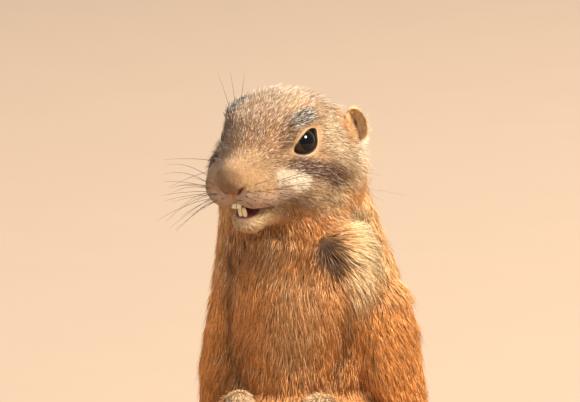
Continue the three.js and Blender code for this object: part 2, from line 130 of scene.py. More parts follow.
def off_line(points, start, end):
    """The way to each point from the nearest place of a straight line."""
    line = end - start
    share = np.clip((points - start) @ line / max(line @ line, 1e-9), 0, 1)
    return points - start - share[:, None] * line


def from_line(points, start, end):
    return np.linalg.norm(off_line(points, start, end), axis=-1)


def waver(points, size, seed):
    """Smooth noise between -1 and 1 whose waves are about this size."""
    grid = points / size + seed * 17.31
    cell = np.floor(grid).astype(np.int64)
    share = grid - cell
    share = share * share * (3 - 2 * share)
    total = np.zeros(len(points))
    for corner in product((0, 1), repeat=3):
        near = np.array(corner)
        key = (cell + near) @ np.array((73856093, 19349663, 83492791))
        key = (key ^ (key >> 13)) * 1274126177 & 0xFFFFFFFF
        key = (key ^ (key >> 15)) * 2246822519 & 0xFFFFFFFF
        value = ((key >> 8) & 0xFFFF) / 32767.5 - 1
        total += value * np.prod(np.where(near, share, 1 - share), axis=-1)
    return total


def linear(*rgb):
    """A screen colour from 0 to 255 as the light it stands for."""
    c = np.array(rgb, float) / 255
    return np.where(c <= 0.04045, c / 12.92, ((c + 0.055) / 1.055) ** 2.4)


# The lids: each eye has its own frame, long from the inner corner to the outer, high from lid to lid


def eye_frame(side):
    centre = from_head(mirrored(EYE_CENTRE, side))
    axis = unit(np.array((EYE_AXIS[0] * side, -EYE_AXIS[2], EYE_AXIS[1])))
    level = unit(np.cross((0, 0, side), axis))
    rise = unit(np.cross(axis, level) * side)
    long = level * cos(LID_SLANT) + rise * sin(LID_SLANT)
    high = rise * cos(LID_SLANT) - level * sin(LID_SLANT)
    return centre, *(v @ HEAD_AXES.T for v in (axis, long, high))


EYES = {side: eye_frame(side) for side in SIDES.values()}


def almond(along, over):
    """1 on the line of the lids, less inside it, for a place in an eye's frame."""
    a = np.abs(along - LID_MIDDLE[0]) / LID_LENGTH
    rise = over - LID_MIDDLE[1]
    b = np.where(rise > 0, rise / LID_HEIGHTS[0], -rise / LID_HEIGHTS[1])
    low, high = np.zeros_like(a) + 1e-3, np.zeros_like(a) + 40
    for _ in range(20):
        middle = (low + high) / 2
        outside = (a / middle) ** 2 + (b / middle) ** 1.6 > 1
        low, high = np.where(outside, middle, low), np.where(outside, high, middle)
    return (low + high) / 2


FAR_OFF = 40.0  # for points that are in front of neither eye


def by_eye(points, side, reach=9.0):
    """How far points in front of an eye are outside the line of its lids, and how far from its centre."""
    centre, axis, long, high = EYES[side]
    away = points - centre
    far = np.linalg.norm(away, axis=-1)
    near = (far < EYE_RADIUS + reach) & (away @ axis > 0)
    gap = np.full(len(points), FAR_OFF)
    along, over = away[near] @ long, away[near] @ high
    out = np.hypot(along - LID_MIDDLE[0], over - LID_MIDDLE[1])
    gap[near] = out * (1 - 1 / almond(along, over))
    return gap, far


def lid_gap(points):
    """The distance outside the lids of whichever eye the points are in front of."""
    return np.minimum(*(by_eye(points, side)[0] for side in SIDES.values()))


# How the coat lies. Each lie is a limb-shaped region with the hair's length, width and height over
# the skin, hairs for each square millimetre, and the way that they point.


class Lie:
    def __init__(self, ends, reach, flow, length, width, height, density, soft=5.0):
        self.ends = [np.asarray(end, float) for end in ends]
        self.reach, self.flow, self.soft = reach, flow, soft
        self.values = (length, width, height, density)

    def distance(self, points):
        return from_line(points, self.ends[0], self.ends[-1]) - self.reach

    def heading(self, points):
        if callable(self.flow):
            return unit(self.flow(points))
        if self.flow is None:
            return np.tile(unit(self.ends[-1] - self.ends[0]), (len(points), 1))
        return np.tile(unit(np.asarray(self.flow, float)), (len(points), 1))


def off_nose(points):
    """The face's hair runs away from the nose on every side."""
    return points - from_head((0, -8, 36))


def over_crown(points):
    return np.tile(head_vector((0, -0.1, -1)), (len(points), 1))


def down_body(points):
    """Down the trunk, a little outwards on each side and a little to the rear."""
    spread = (points[:, :1] - BODY_SHIFT[0]) / 150
    return np.concatenate([spread, spread * 0 + 0.08, spread * 0 - 1], axis=-1)


def arm_points(side):
    return (
        stance(26 if side > 0 else -25, -4, 180),
        stance(44 if side > 0 else -33, -9, 126),
        stance((13 if side > 0 else 18) * side, -40, 143),
        stance((12.5 if side > 0 else 17.5) * side, -44, 135),
        stance((12.5 if side > 0 else 17.5) * side, -46, 119),
    )


def leg_points(side):
    toe_way = np.array((sin(radians(9)) * side, -cos(radians(9)), 0))
    ankle = stance(33 * side, 18, 8)
    ball = ankle + toe_way * 43
    return (
        stance(34 * side, 18, 54),
        stance(38 * side, -17, 50),
        stance(38 * side, -13, 36),
        ankle,
        ball,
        ball + toe_way * 16,
    )


def lies_of_coat():
    def on_head(ends, *values):
        return Lie([from_head(end) for end in ends], *values)

    table = [
        Lie([stance(0, 24, 190), stance(0, 34, 50)], 24, down_body, 12.5, 0.36, 3.4, 1.7, 8),
        Lie([stance(0, -24, 120), stance(0, -20, 50)], 25, down_body, 12.5, 0.35, 3.3, 1.6, 8),
        Lie([stance(-2, -14, 184), stance(0, -18, 150)], 25, down_body, 12.5, 0.29, 3.3, 2.7, 8),
        Lie([stance(-3, 1, 190), stance(-5, -8, 226)], 30, down_body, 9.5, 0.3, 2.6, 2.9, 7),
        Lie([stance(0, 54, 17), stance(1.5, 80, 9.5)], 10, None, 13, 0.38, 3.0, 2.1),
        Lie([stance(1.5, 80, 9.5), stance(4, 104, 8)], 8, None, 12.5, 0.34, 3.4, 3.0),
        on_head([(0, -11.4, 27.4)], 6.5, off_nose, 0.9, 0.13, 0.3, 15, 1.4),
        on_head([(0, -4, 10), (0, -7, 21)], 9, off_nose, 2.2, 0.17, 0.5, 12, 3),
        on_head([(0, 6, 2), (0, 6, -4)], 14, off_nose, 3.4, 0.19, 0.9, 10.5, 4),
        on_head([(0, 6, -18), (0, 4, -26)], 17, over_crown, 4.8, 0.22, 1.5, 7, 5),
        on_head([(0, -22, -4), (0, -26, 12)], 6, head_vector((0, -0.4, -1)), 3.2, 0.22, 0.8, 7, 2.5),
    ]
    for side in SIDES.values():
        shoulder, elbow, wrist, palm, fingers = arm_points(side)
        hip, knee, shin, ankle, ball, toes = leg_points(side)
        down_jowl = head_vector((0.35 * side, -0.55, -0.75))
        front_of_ear = [(20.7 * side, 9, -28), (22 * side, 2.5, -27.5)]
        rim_of_ear = [(24 * side, 12.5, -31), (27.4 * side, 3, -31)]
        up_ear = head_vector((0.4 * side, 0.6, -0.7))
        off_cheek = head_vector((0.5 * side, 0.6, -0.7))
        over_rim = head_vector((-0.7 * side, -0.2, 0.3))
        table += [
            Lie([shoulder, elbow], 11, None, 9.5, 0.31, 2.4, 2.5),
            Lie([elbow, wrist], 7.5, None, 5.5, 0.27, 1.3, 4.0, 4),
            Lie([wrist, palm], 5.6, (0, -0.2, -1), 2.8, 0.21, 0.5, 6.5, 2.5),
            Lie([palm, fingers], 5.0, (0, -0.1, -1), 1.3, 0.15, 0.25, 9.0, 2),
            Lie([hip, knee], 19, (0, -0.35, -1), 11, 0.36, 3.0, 1.6, 7),
            Lie([shin, ankle], 10, None, 7, 0.32, 1.8, 2.2, 5),
            Lie([ankle, ball], 7.2, (0, -1, -0.15), 3.0, 0.24, 0.5, 3.6, 3),
            Lie([ball, toes], 6, (0, -1, -0.1), 1.5, 0.17, 0.25, 5.5, 2.5),
            on_head([(12.3 * side, 0.9, -2.6)], 8.0, off_nose, 1.4, 0.15, 0.35, 12, 1.4),
            on_head([(14 * side, -9, 1), (15 * side, -12, -8)], 11, off_nose, 3.6, 0.19, 1.0, 10, 4),
            on_head([(18 * side, -13, -23)], 14, down_jowl, 6.5, 0.25, 2.0, 4.6, 5),
            on_head([(9.5 * side, -13.5, 10)], 8, off_nose, 2.4, 0.17, 0.6, 11, 2.2),
            on_head([(6.8 * side, -17.2, 19.5)], 7.5, off_nose, 1.0, 0.13, 0.25, 11, 2.0),
            on_head([(23.0 * side, 6.8, -29.5)], 7.5, up_ear, 0.8, 0.15, 0.12, 17, 0.6),
            on_head(front_of_ear, 1.3, off_cheek, 1.8, 0.17, 0.4, 14, 0.8),
            on_head(rim_of_ear, 1.2, over_rim, 1.5, 0.17, 0.4, 15, 0.8),
        ]
    return table


LIES = lies_of_coat()

# A whorl of long hair on the left of the chest, its hairs lying outwards from the middle
WHORL_AT = stance(15.0, -28, 201)
WHORL_REACH = 17.0
WHORL_FROM = np.array((2.5, 0, -4.0))  # its hairs point away from a place this far from its middle
WHORL_LONGER, WHORL_HIGHER = 5, 1.4

# Along the lids the coat is shorter and flatter: how far, and by what share
SHORT_BY_LIDS = (0.6, 3.5)
LENGTH_BY_LIDS, HEIGHT_BY_LIDS = 0.55, 0.35

# The furrows between the chest and the arms, sunk into the skin and darkened with painted shade
CREASES = [
    [(-24, -24, 202), (-24.1, -23, 188), (-25.1, -21.6, 176)]
    + [(-27.5, -17.8, 162), (-22.6, -18.5, 152), (-17.7, -23, 145)],
    [(16, -27, 198), (20.1, -23.9, 181), (19.7, -22, 164), (14.2, -23.8, 152)],
]
CREASE_REACH = 3.0
CREASE_DEPTH = 2.0


def chest_crease(points):
    """1 in the furrows between the chest and the arms."""
    near = np.full(len(points), FAR_OFF)
    for line in CREASES:
        for first, second in zip(line, line[1:]):
            near = np.minimum(near, from_line(points, stance(*first), stance(*second)))
    return np.exp(-((near / CREASE_REACH) ** 2))


def lie_at(points, normals):
    """Heading, length, width, height and density of the coat at points of the skin."""
    distances = np.stack([lie.distance(points) for lie in LIES])
    softness = np.array([lie.soft for lie in LIES])[:, None]
    weights = np.exp(-np.clip(distances - distances.min(0), 0, 60) / softness)
    weights /= weights.sum(0)
    values = np.array([lie.values for lie in LIES])
    length, width, height, density = np.einsum("ln,lv->vn", weights, values)
    flow = np.zeros_like(points)
    for weight, lie in zip(weights, LIES):
        flow += weight[:, None] * lie.heading(points)
    away = points - WHORL_AT
    outer = smooth(away[:, 0], -12, 8) * smooth(-away[:, 2], -26, -6)
    near = (np.exp(-((np.linalg.norm(away, axis=-1) / WHORL_REACH) ** 2)) * (0.2 + 0.8 * outer))[:, None]
    flow = flow * (1 - near) + 1.2 * near * unit(away + WHORL_FROM)
    length = length + near[:, 0] * WHORL_LONGER
    height = height + near[:, 0] * WHORL_HIGHER
    off_lids = smooth(lid_gap(points), *SHORT_BY_LIDS)
    length = length * (LENGTH_BY_LIDS + (1 - LENGTH_BY_LIDS) * off_lids)
    height = height * (HEIGHT_BY_LIDS + (1 - HEIGHT_BY_LIDS) * off_lids)
    flow -= normals * np.sum(flow * normals, -1, keepdims=True)
    firm = 0.35 + 0.65 * smooth(np.linalg.norm(flow, axis=-1), 0.1, 0.6)
    return unit(flow), length * firm, width, height, density


# Markings. A patch is a soft spot of colour round a place or along a line: its ends, radii, colour
# and strength, and the shares of silver and of dark hairs that it brings.

COAT = dict(
    back=linear(178, 128, 74),
    flank=linear(226, 158, 88),
    front=linear(228, 164, 100),
    belly=linear(230, 190, 132),
    face=linear(174, 139, 98),
    crown=linear(168, 138, 107),
    bulb=linear(172, 137, 98),
    ring=linear(200, 162, 118),
    pale=linear(232, 206, 164),
    cream=linear(244, 216, 166),
    white=linear(238, 222, 198),
    black=linear(44, 44, 52),
    brown=linear(98, 68, 46),
    umber=linear(106, 68, 41),
    dusk=linear(158, 118, 82),
    neck=linear(232, 184, 124),
    earth=linear(228, 184, 128),
    orange=linear(238, 162, 84),
    rust=linear(156, 108, 66),
    pad=linear(206, 120, 80),
    lip=linear(190, 162, 140),
    mouth=linear(120, 52, 44),
    lid=linear(36, 26, 22),
    tip=linear(235, 222, 198),
)


class Patch:
    def __init__(self, ends, radii, colour, strength=1.0, silver=0.0, ticks=0.0, edge=0.45):
        ends = np.atleast_2d(np.asarray(ends, float))
        self.start, self.end, self.radii = ends[0], ends[-1], np.asarray(radii, float)
        self.colour, self.strength, self.edge = COAT[colour], strength, edge
        self.silver, self.ticks = silver, ticks

    def weight(self, points, ragged):
        far = np.linalg.norm(off_line(points, self.start, self.end) / self.radii, axis=-1) + ragged
        return self.strength * (1 - smooth(far, 1 - self.edge, 1 + self.edge))


# The dark spot over each eye
BROWS = {
    "left": [(14.0, 9.2, 4.6), (16.6, 11.3, -1.2)],
    "right": [(-15.0, 11.6, 2.4), (-12.6, 14.8, -3.4)],
}


def head_patches():
    """Patches given as left, up and forward of the head, the paired ones on both sides."""
    patches = [
        Patch((0, 12, 4), (15, 9, 16), "face", 0.6, 0.18, 0.35),
        Patch((0, 18, -18), (22, 9, 14), "crown", 0.8, 0.38, 0.2),
        Patch([(0, 2, 17), (0, 11, 5)], (7, 6, 6), "rust", 0.6, 0.12, 0.5),
        Patch([(0.5, -9, 25), (0.5, -13, 27)], (8, 6, 8), "bulb", 0.8, 0.0, 0.2),
        Patch([(0.5, -10.5, 33), (0.5, -14.5, 32)], (4.6, 3.2, 5), "brown", 0.5, 0.0, 0.4, 0.7),
        Patch((0, -26, 8), (10, 7, 14), "pale", 0.75),
        Patch((0, -36, -8), (14, 8, 12), "brown", 0.35, 0.1, 0.3),
    ]
    for word, side in SIDES.items():
        def at(*lufs, side=side):
            return [mirrored(luf, side) for luf in lufs]

        patches += [
            Patch(at((19, 6, -14), (22, -2, -16)), (6, 7, 7), "pale", 0.55, 0.5, 0.15),
            Patch(at((10, -2, 15), (9, 5, 8)), (5, 5, 6), "rust", 0.55, 0.1, 0.4),
            Patch(at((12.6, 9, 6), (12.8, 1.5, 9)), (3.6, 3.6, 3.6), "umber", 0.65, 0.1, 0.45, 0.6),
            Patch(at((14.5, -3, 8), (20, -5, -1)), (3, 2.4, 3), "ring", 0.8),
            Patch(BROWS[word], (3.1, 3.1, 3.1), "black", 1.0, 0.35, 0.4, 0.4),
            Patch(at((17.0, -7.8, 8), (24.5, -10.2, -9)), (5, 3.9, 5), "umber", 0.95, 0.1, 0.35, 0.45),
            Patch(at((14.6, -11.4, 15.5), (17.4, -13.2, 8.5)), (5, 3.5, 4.5), "white", 0.9, 0.0, 0.0, 0.35),
            Patch(at((6, -20, 25), (14, -18, 15)), (6, 3.8, 6), "lip", 0.95, 0.0, 0.0, 0.25),
            Patch(at((20, 10, -22), (20, 2, -21)), (4, 4, 4), "orange", 0.55),
            Patch(at((24, 8, -30)), (8, 9, 7), "earth", 0.9, edge=0.3),
            Patch(at((28, -4, -27), (28, -10, -24)), (6, 5, 7), "white", 0.95, 0.0, 0.0, 0.3),
            Patch(at((19, -20, -14)), (9, 6, 12), "pale", 0.5),
            Patch(at((26, -20, -26)), (9, 8, 9), "orange", 0.55),
        ]
    return patches


def body_patches():
    patches = [
        Patch(stance(0, -40, 176), (22, 20, 34), "front", 0.55, edge=0.6),
        Patch(stance(-6, -44, 200), (10, 14, 12), "pale", 0.3),
        Patch([stance(0, -42, 112), stance(0, -34, 28)], (26, 28, 22), "belly", 0.85, edge=0.5),
        Patch([stance(27, -4, 228), stance(34, -4, 192)], (14, 24, 12), "neck", 0.85, 0.1, 0.05, 0.6),
        Patch([stance(-27, -4, 228), stance(-34, -4, 192)], (14, 24, 12), "neck", 0.6, 0.1, 0.1, 0.6),
        Patch([stance(22, -20, 212), stance(27, -14, 190)], (9, 12, 9), "cream", 0.9, 0.35, 0.14, 0.5),
        Patch([stance(12, -27, 204), stance(15.5, -28, 199)], (3, 4, 3), "brown", 0.9, 0.05, 0.3, 0.6),
        Patch(stance(-20, -27, 204), (8, 8, 9), "dusk", 0.5, 0.1, 0.2, 0.7),
        Patch([stance(-22, -22, 168), stance(-25, -20, 150)], (7, 8, 8), "dusk", 0.45, 0.1, 0.2, 0.7),
        Patch([stance(4, -30, 190), stance(0, -32, 165)], (9, 9, 9), "pale", 0.25, 0.05, 0.05, 0.8),
        Patch(stance(4, 100, 8), (20, 22, 20), "tip", 1.0, edge=0.35),
        Patch(stance(2, 84, 18), (10, 12, 6), "brown", 0.4, 0.1, 0.4),
    ]
    for side in SIDES.values():
        shoulder, elbow, wrist, palm, fingers = arm_points(side)
        ball = leg_points(side)[4]
        patches += [
            Patch([shoulder + (4 * side, 0, 0), elbow], (12, 15, 15), "orange", 0.75, edge=0.6),
            Patch(wrist, (8, 10, 9), "pale", 0.7),
            Patch([palm, fingers], (8, 9, 9), "white", 0.95),
            Patch(ball, (16, 36, 12), "pale", 0.9, edge=0.3),
        ]
    return patches


HEAD_PATCHES = head_patches()
BODY_PATCHES = body_patches()

# Where the flank passes into the back, the body into the head and the lids' ring into the face
BACK_FROM = (-22, 26)
HEAD_FROM, HEAD_BEHIND = (-30, -22), (-46, -34)
HEAD_PATCH_FLOOR = (190, 205)
RING_INNER, RING_OUTER, RING_STRENGTH = (0.2, 0.7), (0.8, 1.8), 0.85
# How strong the painted shade in the chest's furrows is, and how dark the dot at each whisker's foot is
FURROW_SHADE, DOT_STRENGTH = 0.85, 0.8


def markings(points):
    """Colour, share of silver tips and share of dark tips at points of the skin."""
    height = points[:, 2]
    rear = points[:, 1] - BODY_SHIFT[1]
    blend = smooth(rear + waver(points, 16, 3) * 6, *BACK_FROM)[:, None]
    colour = COAT["flank"] * (1 - blend) + COAT["back"] * blend
    silver = 0.06 + 0.1 * blend[:, 0]
    ticks = 0.05 + 0.22 * blend[:, 0]
    local = to_head(points)
    ragged = waver(points, 3.2, 5) * 0.16 + waver(points, 9, 6) * 0.1
    on_head = smooth(local[:, 1] + local[:, 2] * 0.35 + ragged * 10, *HEAD_FROM)
    on_head = on_head * smooth(local[:, 2], *HEAD_BEHIND)
    colour = colour * (1 - on_head[:, None]) + COAT["face"] * on_head[:, None]
    silver = silver + on_head * 0.1
    ticks = ticks * (1 - on_head) + on_head * 0.12
    for patches, places in ((HEAD_PATCHES, local), (BODY_PATCHES, points)):
        for patch in patches:
            weight = patch.weight(places, ragged)
            if patches is HEAD_PATCHES:
                weight = weight * smooth(height, *HEAD_PATCH_FLOOR)
            colour = colour + (patch.colour - colour) * weight[:, None]
            silver = silver + (patch.silver - silver) * weight
            ticks = ticks + (patch.ticks - ticks) * weight
    # Painted shade: the coat is drawn towards dark brown in the furrows between the chest and the arms
    furrow_shade = np.clip(chest_crease(points) * (0.8 + ragged), 0, 1)[:, None]
    colour = colour + (COAT["brown"] * 0.6 - colour) * furrow_shade * FURROW_SHADE
    gap = lid_gap(points)
    ring = (smooth(gap, *RING_INNER) * (1 - smooth(gap + ragged, *RING_OUTER)))[:, None]
    colour = colour + (COAT["ring"] - colour) * ring * RING_STRENGTH
    silver, ticks = silver * (1 - ring[:, 0]), ticks * (1 - ring[:, 0])
    dots = (whisker_dots(local) * DOT_STRENGTH)[:, None]
    colour = colour + (COAT["brown"] * 0.4 - colour) * dots
    return colour, silver, ticks


WHISKER_ROWS, WHISKERS_A_ROW = 5, 6
WHISKERS_LEFT_OUT = 0.3  # share of the places in the rows
WHISKER_LEAN = 0.07
MUZZLE_WHISKER, CHEEK_WHISKER, BROW_WHISKER = 0.085, 0.08, 0.075  # radii at the root
DOT_RADIUS = 0.32


def whisker_roots(side):
    """Where the whiskers of one side leave the muzzle, in rows, as left, up and forward of the head."""
    roots = []
    for row, place in product(range(WHISKER_ROWS), range(WHISKERS_A_ROW)):
        left, up = 6.5 + 1.75 * place, -14.6 - 1.9 * row + 0.35 * place
        roots.append((left * side, up, 27.6 - 2.9 * place + 0.4 * row))
    return np.array(roots)


WHISKER_ROOTS = {side: whisker_roots(side) for side in SIDES.values()}


def whisker_dots(local):
    """1 in the dark spot at the foot of each whisker."""
    dots = np.zeros(len(local))
    near = np.flatnonzero(np.linalg.norm(local - np.array((0, -17, 21)), axis=-1) < 20)
    for root in np.concatenate(list(WHISKER_ROOTS.values())):
        away = local[near] - root
        across = np.hypot(away[:, 1], away[:, 2] * 0.9 - away[:, 0] * 0.4)
        same_side = away[:, 0] * np.sign(root[0]) > -6
        dot = same_side * (1 - smooth(across, DOT_RADIUS * 0.6, DOT_RADIUS * 1.4))
        dots[near] = np.maximum(dots[near], dot)
    return dots


# Materials


class Value:
    """A number on its way through a material, with ordinary arithmetic."""

    def __init__(self, look, socket):
        self.look, self.socket = look, socket

    def __add__(self, other):
        return self.look.maths("ADD", self, other)

    def __sub__(self, other):
        return self.look.maths("SUBTRACT", self, other)

    def __rsub__(self, other):
        return self.look.maths("SUBTRACT", other, self)

    def __mul__(self, other):
        return self.look.maths("MULTIPLY", self, other)

    __radd__ = __add__
    __rmul__ = __mul__


class Look:
    """A material and its nodes."""

    def __init__(self, name):
        self.material = bpy.data.materials.new(name)
        self.material.use_nodes = True
        self.tree = self.material.node_tree
        self.shader = self.tree.nodes["Principled BSDF"]

    def node(self, kind, settings=None, **inputs):
        node = self.tree.nodes.new(kind)
        for name, value in (settings or {}).items():
            setattr(node, name, value)
        for name, value in inputs.items():
            self.feed(node, int(name[2:]) if name.startswith("in") else name.replace("_", " "), value)
        return node

    def feed(self, node, name, value):
        socket = node.inputs[name]
        if isinstance(value, Value):
            value = value.socket
        if isinstance(value, bpy.types.NodeSocket):
            self.tree.links.new(value, socket)
        elif np.ndim(value) == 1 and len(value) == 3 and len(socket.default_value) == 4:
            socket.default_value = (*value, 1)
        else:
            socket.default_value = value

    def maths(self, operation, *values):
        numbered = {f"in{i}": value for i, value in enumerate(values)}
        node = self.node("ShaderNodeMath", {"operation": operation}, **numbered)
        return Value(self, node.outputs[0])

    def place(self):
        return self.node("ShaderNodeTexCoord").outputs["Object"]

    def noise(self, scale, detail):
        node = self.node("ShaderNodeTexNoise", Vector=self.place(), Scale=scale, Detail=detail)
        return Value(self, node.outputs[0])

    def attribute(self, name):
        node = self.node("ShaderNodeAttribute", {"attribute_name": name})
        return node.outputs["Color"], Value(self, node.outputs["Fac"])

    def mix(self, share, first, second, blend="MIX"):
        settings = {"data_type": "RGBA", "blend_type": blend}
        return self.node("ShaderNodeMix", settings, in0=share, in6=first, in7=second).outputs[2]

    def ramp(self, value, low, high, low_to=0.0, high_to=1.0):
        node = self.node("ShaderNodeMapRange", in0=value, in1=low, in2=high, in3=low_to, in4=high_to)
        return Value(self, node.outputs[0])

    def bump(self, height, strength, distance):
        return self.node("ShaderNodeBump", Height=height, Strength=strength, Distance=distance).outputs[0]

    def finish(self, **sockets):
        for name, value in sockets.items():
            self.feed(self.shader, name.replace("_", " "), value)
        return self.material


def skin_look():
    look = Look("skin")
    colour, _ = look.attribute("tone")
    _, bare = look.attribute("bare")
    fine = look.noise(2600, 3)
    patchy = look.noise(420, 3)
    shade = look.mix(0.35, colour, look.mix(fine, (0.25, 0.25, 0.25), (1, 1, 1)), "MULTIPLY")
    rough = look.ramp(bare, 0, 1, 0.85, 0.5) + patchy * 0.1
    return look.finish(
        Base_Color=shade,
        Roughness=rough,
        Normal=look.bump(fine + patchy * 0.6, 0.5, 0.0003),
    )


def fur_look():
    look = Look("fur")
    colour, _ = look.attribute("tone")
    streak = look.noise(900, 2)
    streaked = look.ramp(streak, 0.3, 0.7, 0.0, 0.35)
    shade = look.mix(streaked, colour, (0.32, 0.22, 0.14), "MULTIPLY")
    return look.finish(Base_Color=shade, Roughness=look.ramp(streak, 0.2, 0.8, 0.5, 0.72))


def eye_look():
    look = Look("eye")
    _, share = look.attribute("iris")
    grain = look.noise(1500, 3)
    pupil = look.ramp(share, 0.40, 0.46)
    rim = look.ramp(share, 0.72, 0.86)
    iris = look.mix(grain, (0.012, 0.006, 0.003), (0.05, 0.022, 0.01))
    colour = look.mix(pupil, (0.0015, 0.0012, 0.0012), iris)
    colour = look.mix(rim, colour, (0.006, 0.004, 0.003))
    look.shader.inputs["IOR"].default_value = 1.3
    return look.finish(Base_Color=colour, Roughness=look.ramp(grain, 0, 1, 0.03, 0.06))


def horn_look():
    look = Look("claw")
    _, along = look.attribute("along")
    grain = look.noise(900, 3)
    colour = look.mix(along, (0.035, 0.022, 0.016), (0.16, 0.11, 0.075))
    colour = look.mix(look.ramp(grain, 0.4, 0.7, 0, 0.4), colour, (0.02, 0.014, 0.01))
    return look.finish(
        Base_Color=colour,
        Roughness=look.ramp(grain, 0, 1, 0.25, 0.45),
        Normal=look.bump(grain, 0.3, 0.0002),
    )


def tooth_look():
    look = Look("tooth")
    grain = look.noise(600, 2)
    colour = look.mix(grain, (0.56, 0.42, 0.24), (0.76, 0.64, 0.42))
    return look.finish(Base_Color=colour, Roughness=look.ramp(grain, 0, 1, 0.15, 0.3))


def whisker_look():
    look = Look("whisker")
    _, along = look.attribute("along")
    grain = look.noise(300, 2)
    colour = look.mix(along, (0.016, 0.011, 0.009), (0.10, 0.07, 0.05))
    colour = look.mix(look.ramp(grain, 0.4, 0.6, 0, 0.3), colour, (0.01, 0.008, 0.007))
    return look.finish(Base_Color=colour, Roughness=look.ramp(grain, 0, 1, 0.3, 0.5))


# Meshes


def deselect():
    if bpy.context.object and bpy.context.object.mode != "OBJECT":
        bpy.ops.object.mode_set(mode="OBJECT")
    bpy.ops.object.select_all(action="DESELECT")


def select_only(obj):
    deselect()
    obj.select_set(True)
    bpy.context.view_layer.objects.active = obj


def linked(name, data):
    obj = bpy.data.objects.new(name, data)
    bpy.context.scene.collection.objects.link(obj)
    return obj


def edited(obj, operator, **settings):
    """Runs one operator of edit mode on the whole of an object."""
    select_only(obj)
    bpy.ops.object.mode_set(mode="EDIT")
    bpy.ops.mesh.select_all(action="SELECT")
    operator(**settings)
    bpy.ops.object.mode_set(mode="OBJECT")


def vertices_of(obj):
    flat = np.empty(len(obj.data.vertices) * 3, np.float32)
    obj.data.vertices.foreach_get("co", flat)
    return flat.reshape(-1, 3).astype(float) / MM


def move_vertices(obj, points):
    obj.data.vertices.foreach_set("co", (points * MM).astype(np.float32).ravel())
    obj.data.update()


def corners_of(obj):
    flat = np.empty(len(obj.data.loops), np.int32)
    obj.data.loops.foreach_get("vertex_index", flat)
    return flat.reshape(-1, 3)


def vertex_normals(points, corners):
    a, b, c = (points[corners[:, i]] for i in range(3))
    area = np.cross(b - a, c - a)
    total = np.zeros_like(points)
    for i in range(3):
        for axis in range(3):
            total[:, axis] += np.bincount(corners[:, i], area[:, axis], len(points))
    return unit(total)


def relaxed(points, corners, rounds, share):
    """Points moved by a share of the way to the middle of their neighbours."""
    edges = np.concatenate([corners[:, (0, 1)], corners[:, (1, 2)], corners[:, (2, 0)]])
    count = np.maximum(np.bincount(edges[:, 0], minlength=len(points)), 1)[:, None]
    for _ in range(rounds):
        sums = [np.bincount(edges[:, 0], points[edges[:, 1], i], len(points)) for i in range(3)]
        total = np.stack(sums, -1)
        points = points + (total / count - points) * share
    return points


def merged_copy(name, grow=0.0):
    """A copy of a node's mesh with its loose triangles joined, grown outwards."""
    copy = linked(name + "_copy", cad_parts[name].data.copy())
    copy.data.materials.clear()
    edited(copy, bpy.ops.mesh.remove_doubles, threshold=1e-6)
    if grow:
        points = vertices_of(copy)
        normals = np.array([v.normal for v in copy.data.vertices])
        move_vertices(copy, points + normals * grow)
    return copy


def join(objects, name):
    deselect()
    for obj in objects:
        obj.select_set(True)
    bpy.context.view_layer.objects.active = objects[0]
    if len(objects) > 1:
        bpy.ops.object.join()
    whole = bpy.context.view_layer.objects.active
    whole.name = whole.data.name = name
    return whole


def modified(obj, kind, **settings):
    """Adds a modifier with its settings and applies it."""
    select_only(obj)
    modifier = obj.modifiers.new(kind.lower(), kind)
    for name, value in settings.items():
        setattr(modifier, name, value)
    bpy.ops.object.modifier_apply(modifier=modifier.name)
    return obj


def dressed(obj, material, slot, *replaced):
    """Gives a finished piece its material and its place in the frame."""
    obj.data.materials.clear()
    obj.data.materials.append(material)
    obj.data.polygons.foreach_set("use_smooth", np.ones(len(obj.data.polygons), bool))
    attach(obj, "root")
    if replaced:
        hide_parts(*replaced)
    return obj


def tone_vertices(obj, name, colours):
    layer = obj.data.color_attributes.new(name=name, type="FLOAT_COLOR", domain="POINT")
    rgba = np.ones((len(colours), 4), np.float32)
    rgba[:, :3] = colours if np.ndim(colours) == 2 else np.asarray(colours)[:, None]
    layer.data.foreach_set("color", rgba.ravel())


# Skin

LIMB_WORDS = ("upper_arm", "forearm", "forepaw", "thigh", "lower_leg", "hind_foot", "ear")
FLESH = ["head", "lower_jaw", "neck", "chest", "belly", "tail_base", "tail_tip"]
FLESH += [f"{limb}_{word}" for limb in LIMB_WORDS for word in SIDES]

# The gap between the lips, as seen from the joint of the jaw: each pair is where it starts and is full
MOUTH_JOINT = (0, -9, -18)
MOUTH_REACH = (14, 18)
MOUTH_SIDE = (7.0, 9.5)
UPPER_LIP = (19.0, 21.5)  # degrees under the level line
LOWER_LIP = (27.0, 29.0)


def mouth_gap(points):
    """1 in the gap between the lips, 0 away from it."""
    local = to_head(points)
    forward, up = local[:, 2] - MOUTH_JOINT[2], local[:, 1] - MOUTH_JOINT[1]
    angle = np.degrees(np.arctan2(-up, np.maximum(forward, 1)))
    reach = np.hypot(forward, up)
    wide = 1 - smooth(np.abs(local[:, 0]), *MOUTH_SIDE)
    between = smooth(angle, *UPPER_LIP) * (1 - smooth(angle, *LOWER_LIP))
    return wide * smooth(reach, *MOUTH_REACH) * between


# The nose and the upper lip, in the head's frame
NOSE_MIDDLE = 0.5  # how far their middle line is to the animal's left
CREASE_UNDER_NOSE = -18.4
CREASE_BOW = 0.1
NOSE_CREASE_HALF = 0.6
NOSTRIL_OUT = 3.5
NOSTRIL_RADII = (1.9, 0.85)
GROOVE_HALF = 0.42
CREASE_SINK, NOSTRIL_SINK, GROOVE_SINK = 1.0, 1.3, 0.8
LIP_PAD_AT, LIP_PAD_REACH, LIP_PAD_RISE = (5.0, -20.6, 24.8), 4.6, 1.25
BULB_AT, BULB_RADII, BULB_RISE = (0, -12.0, 27.5), (7.2, 5.6, 7.5), 0.8


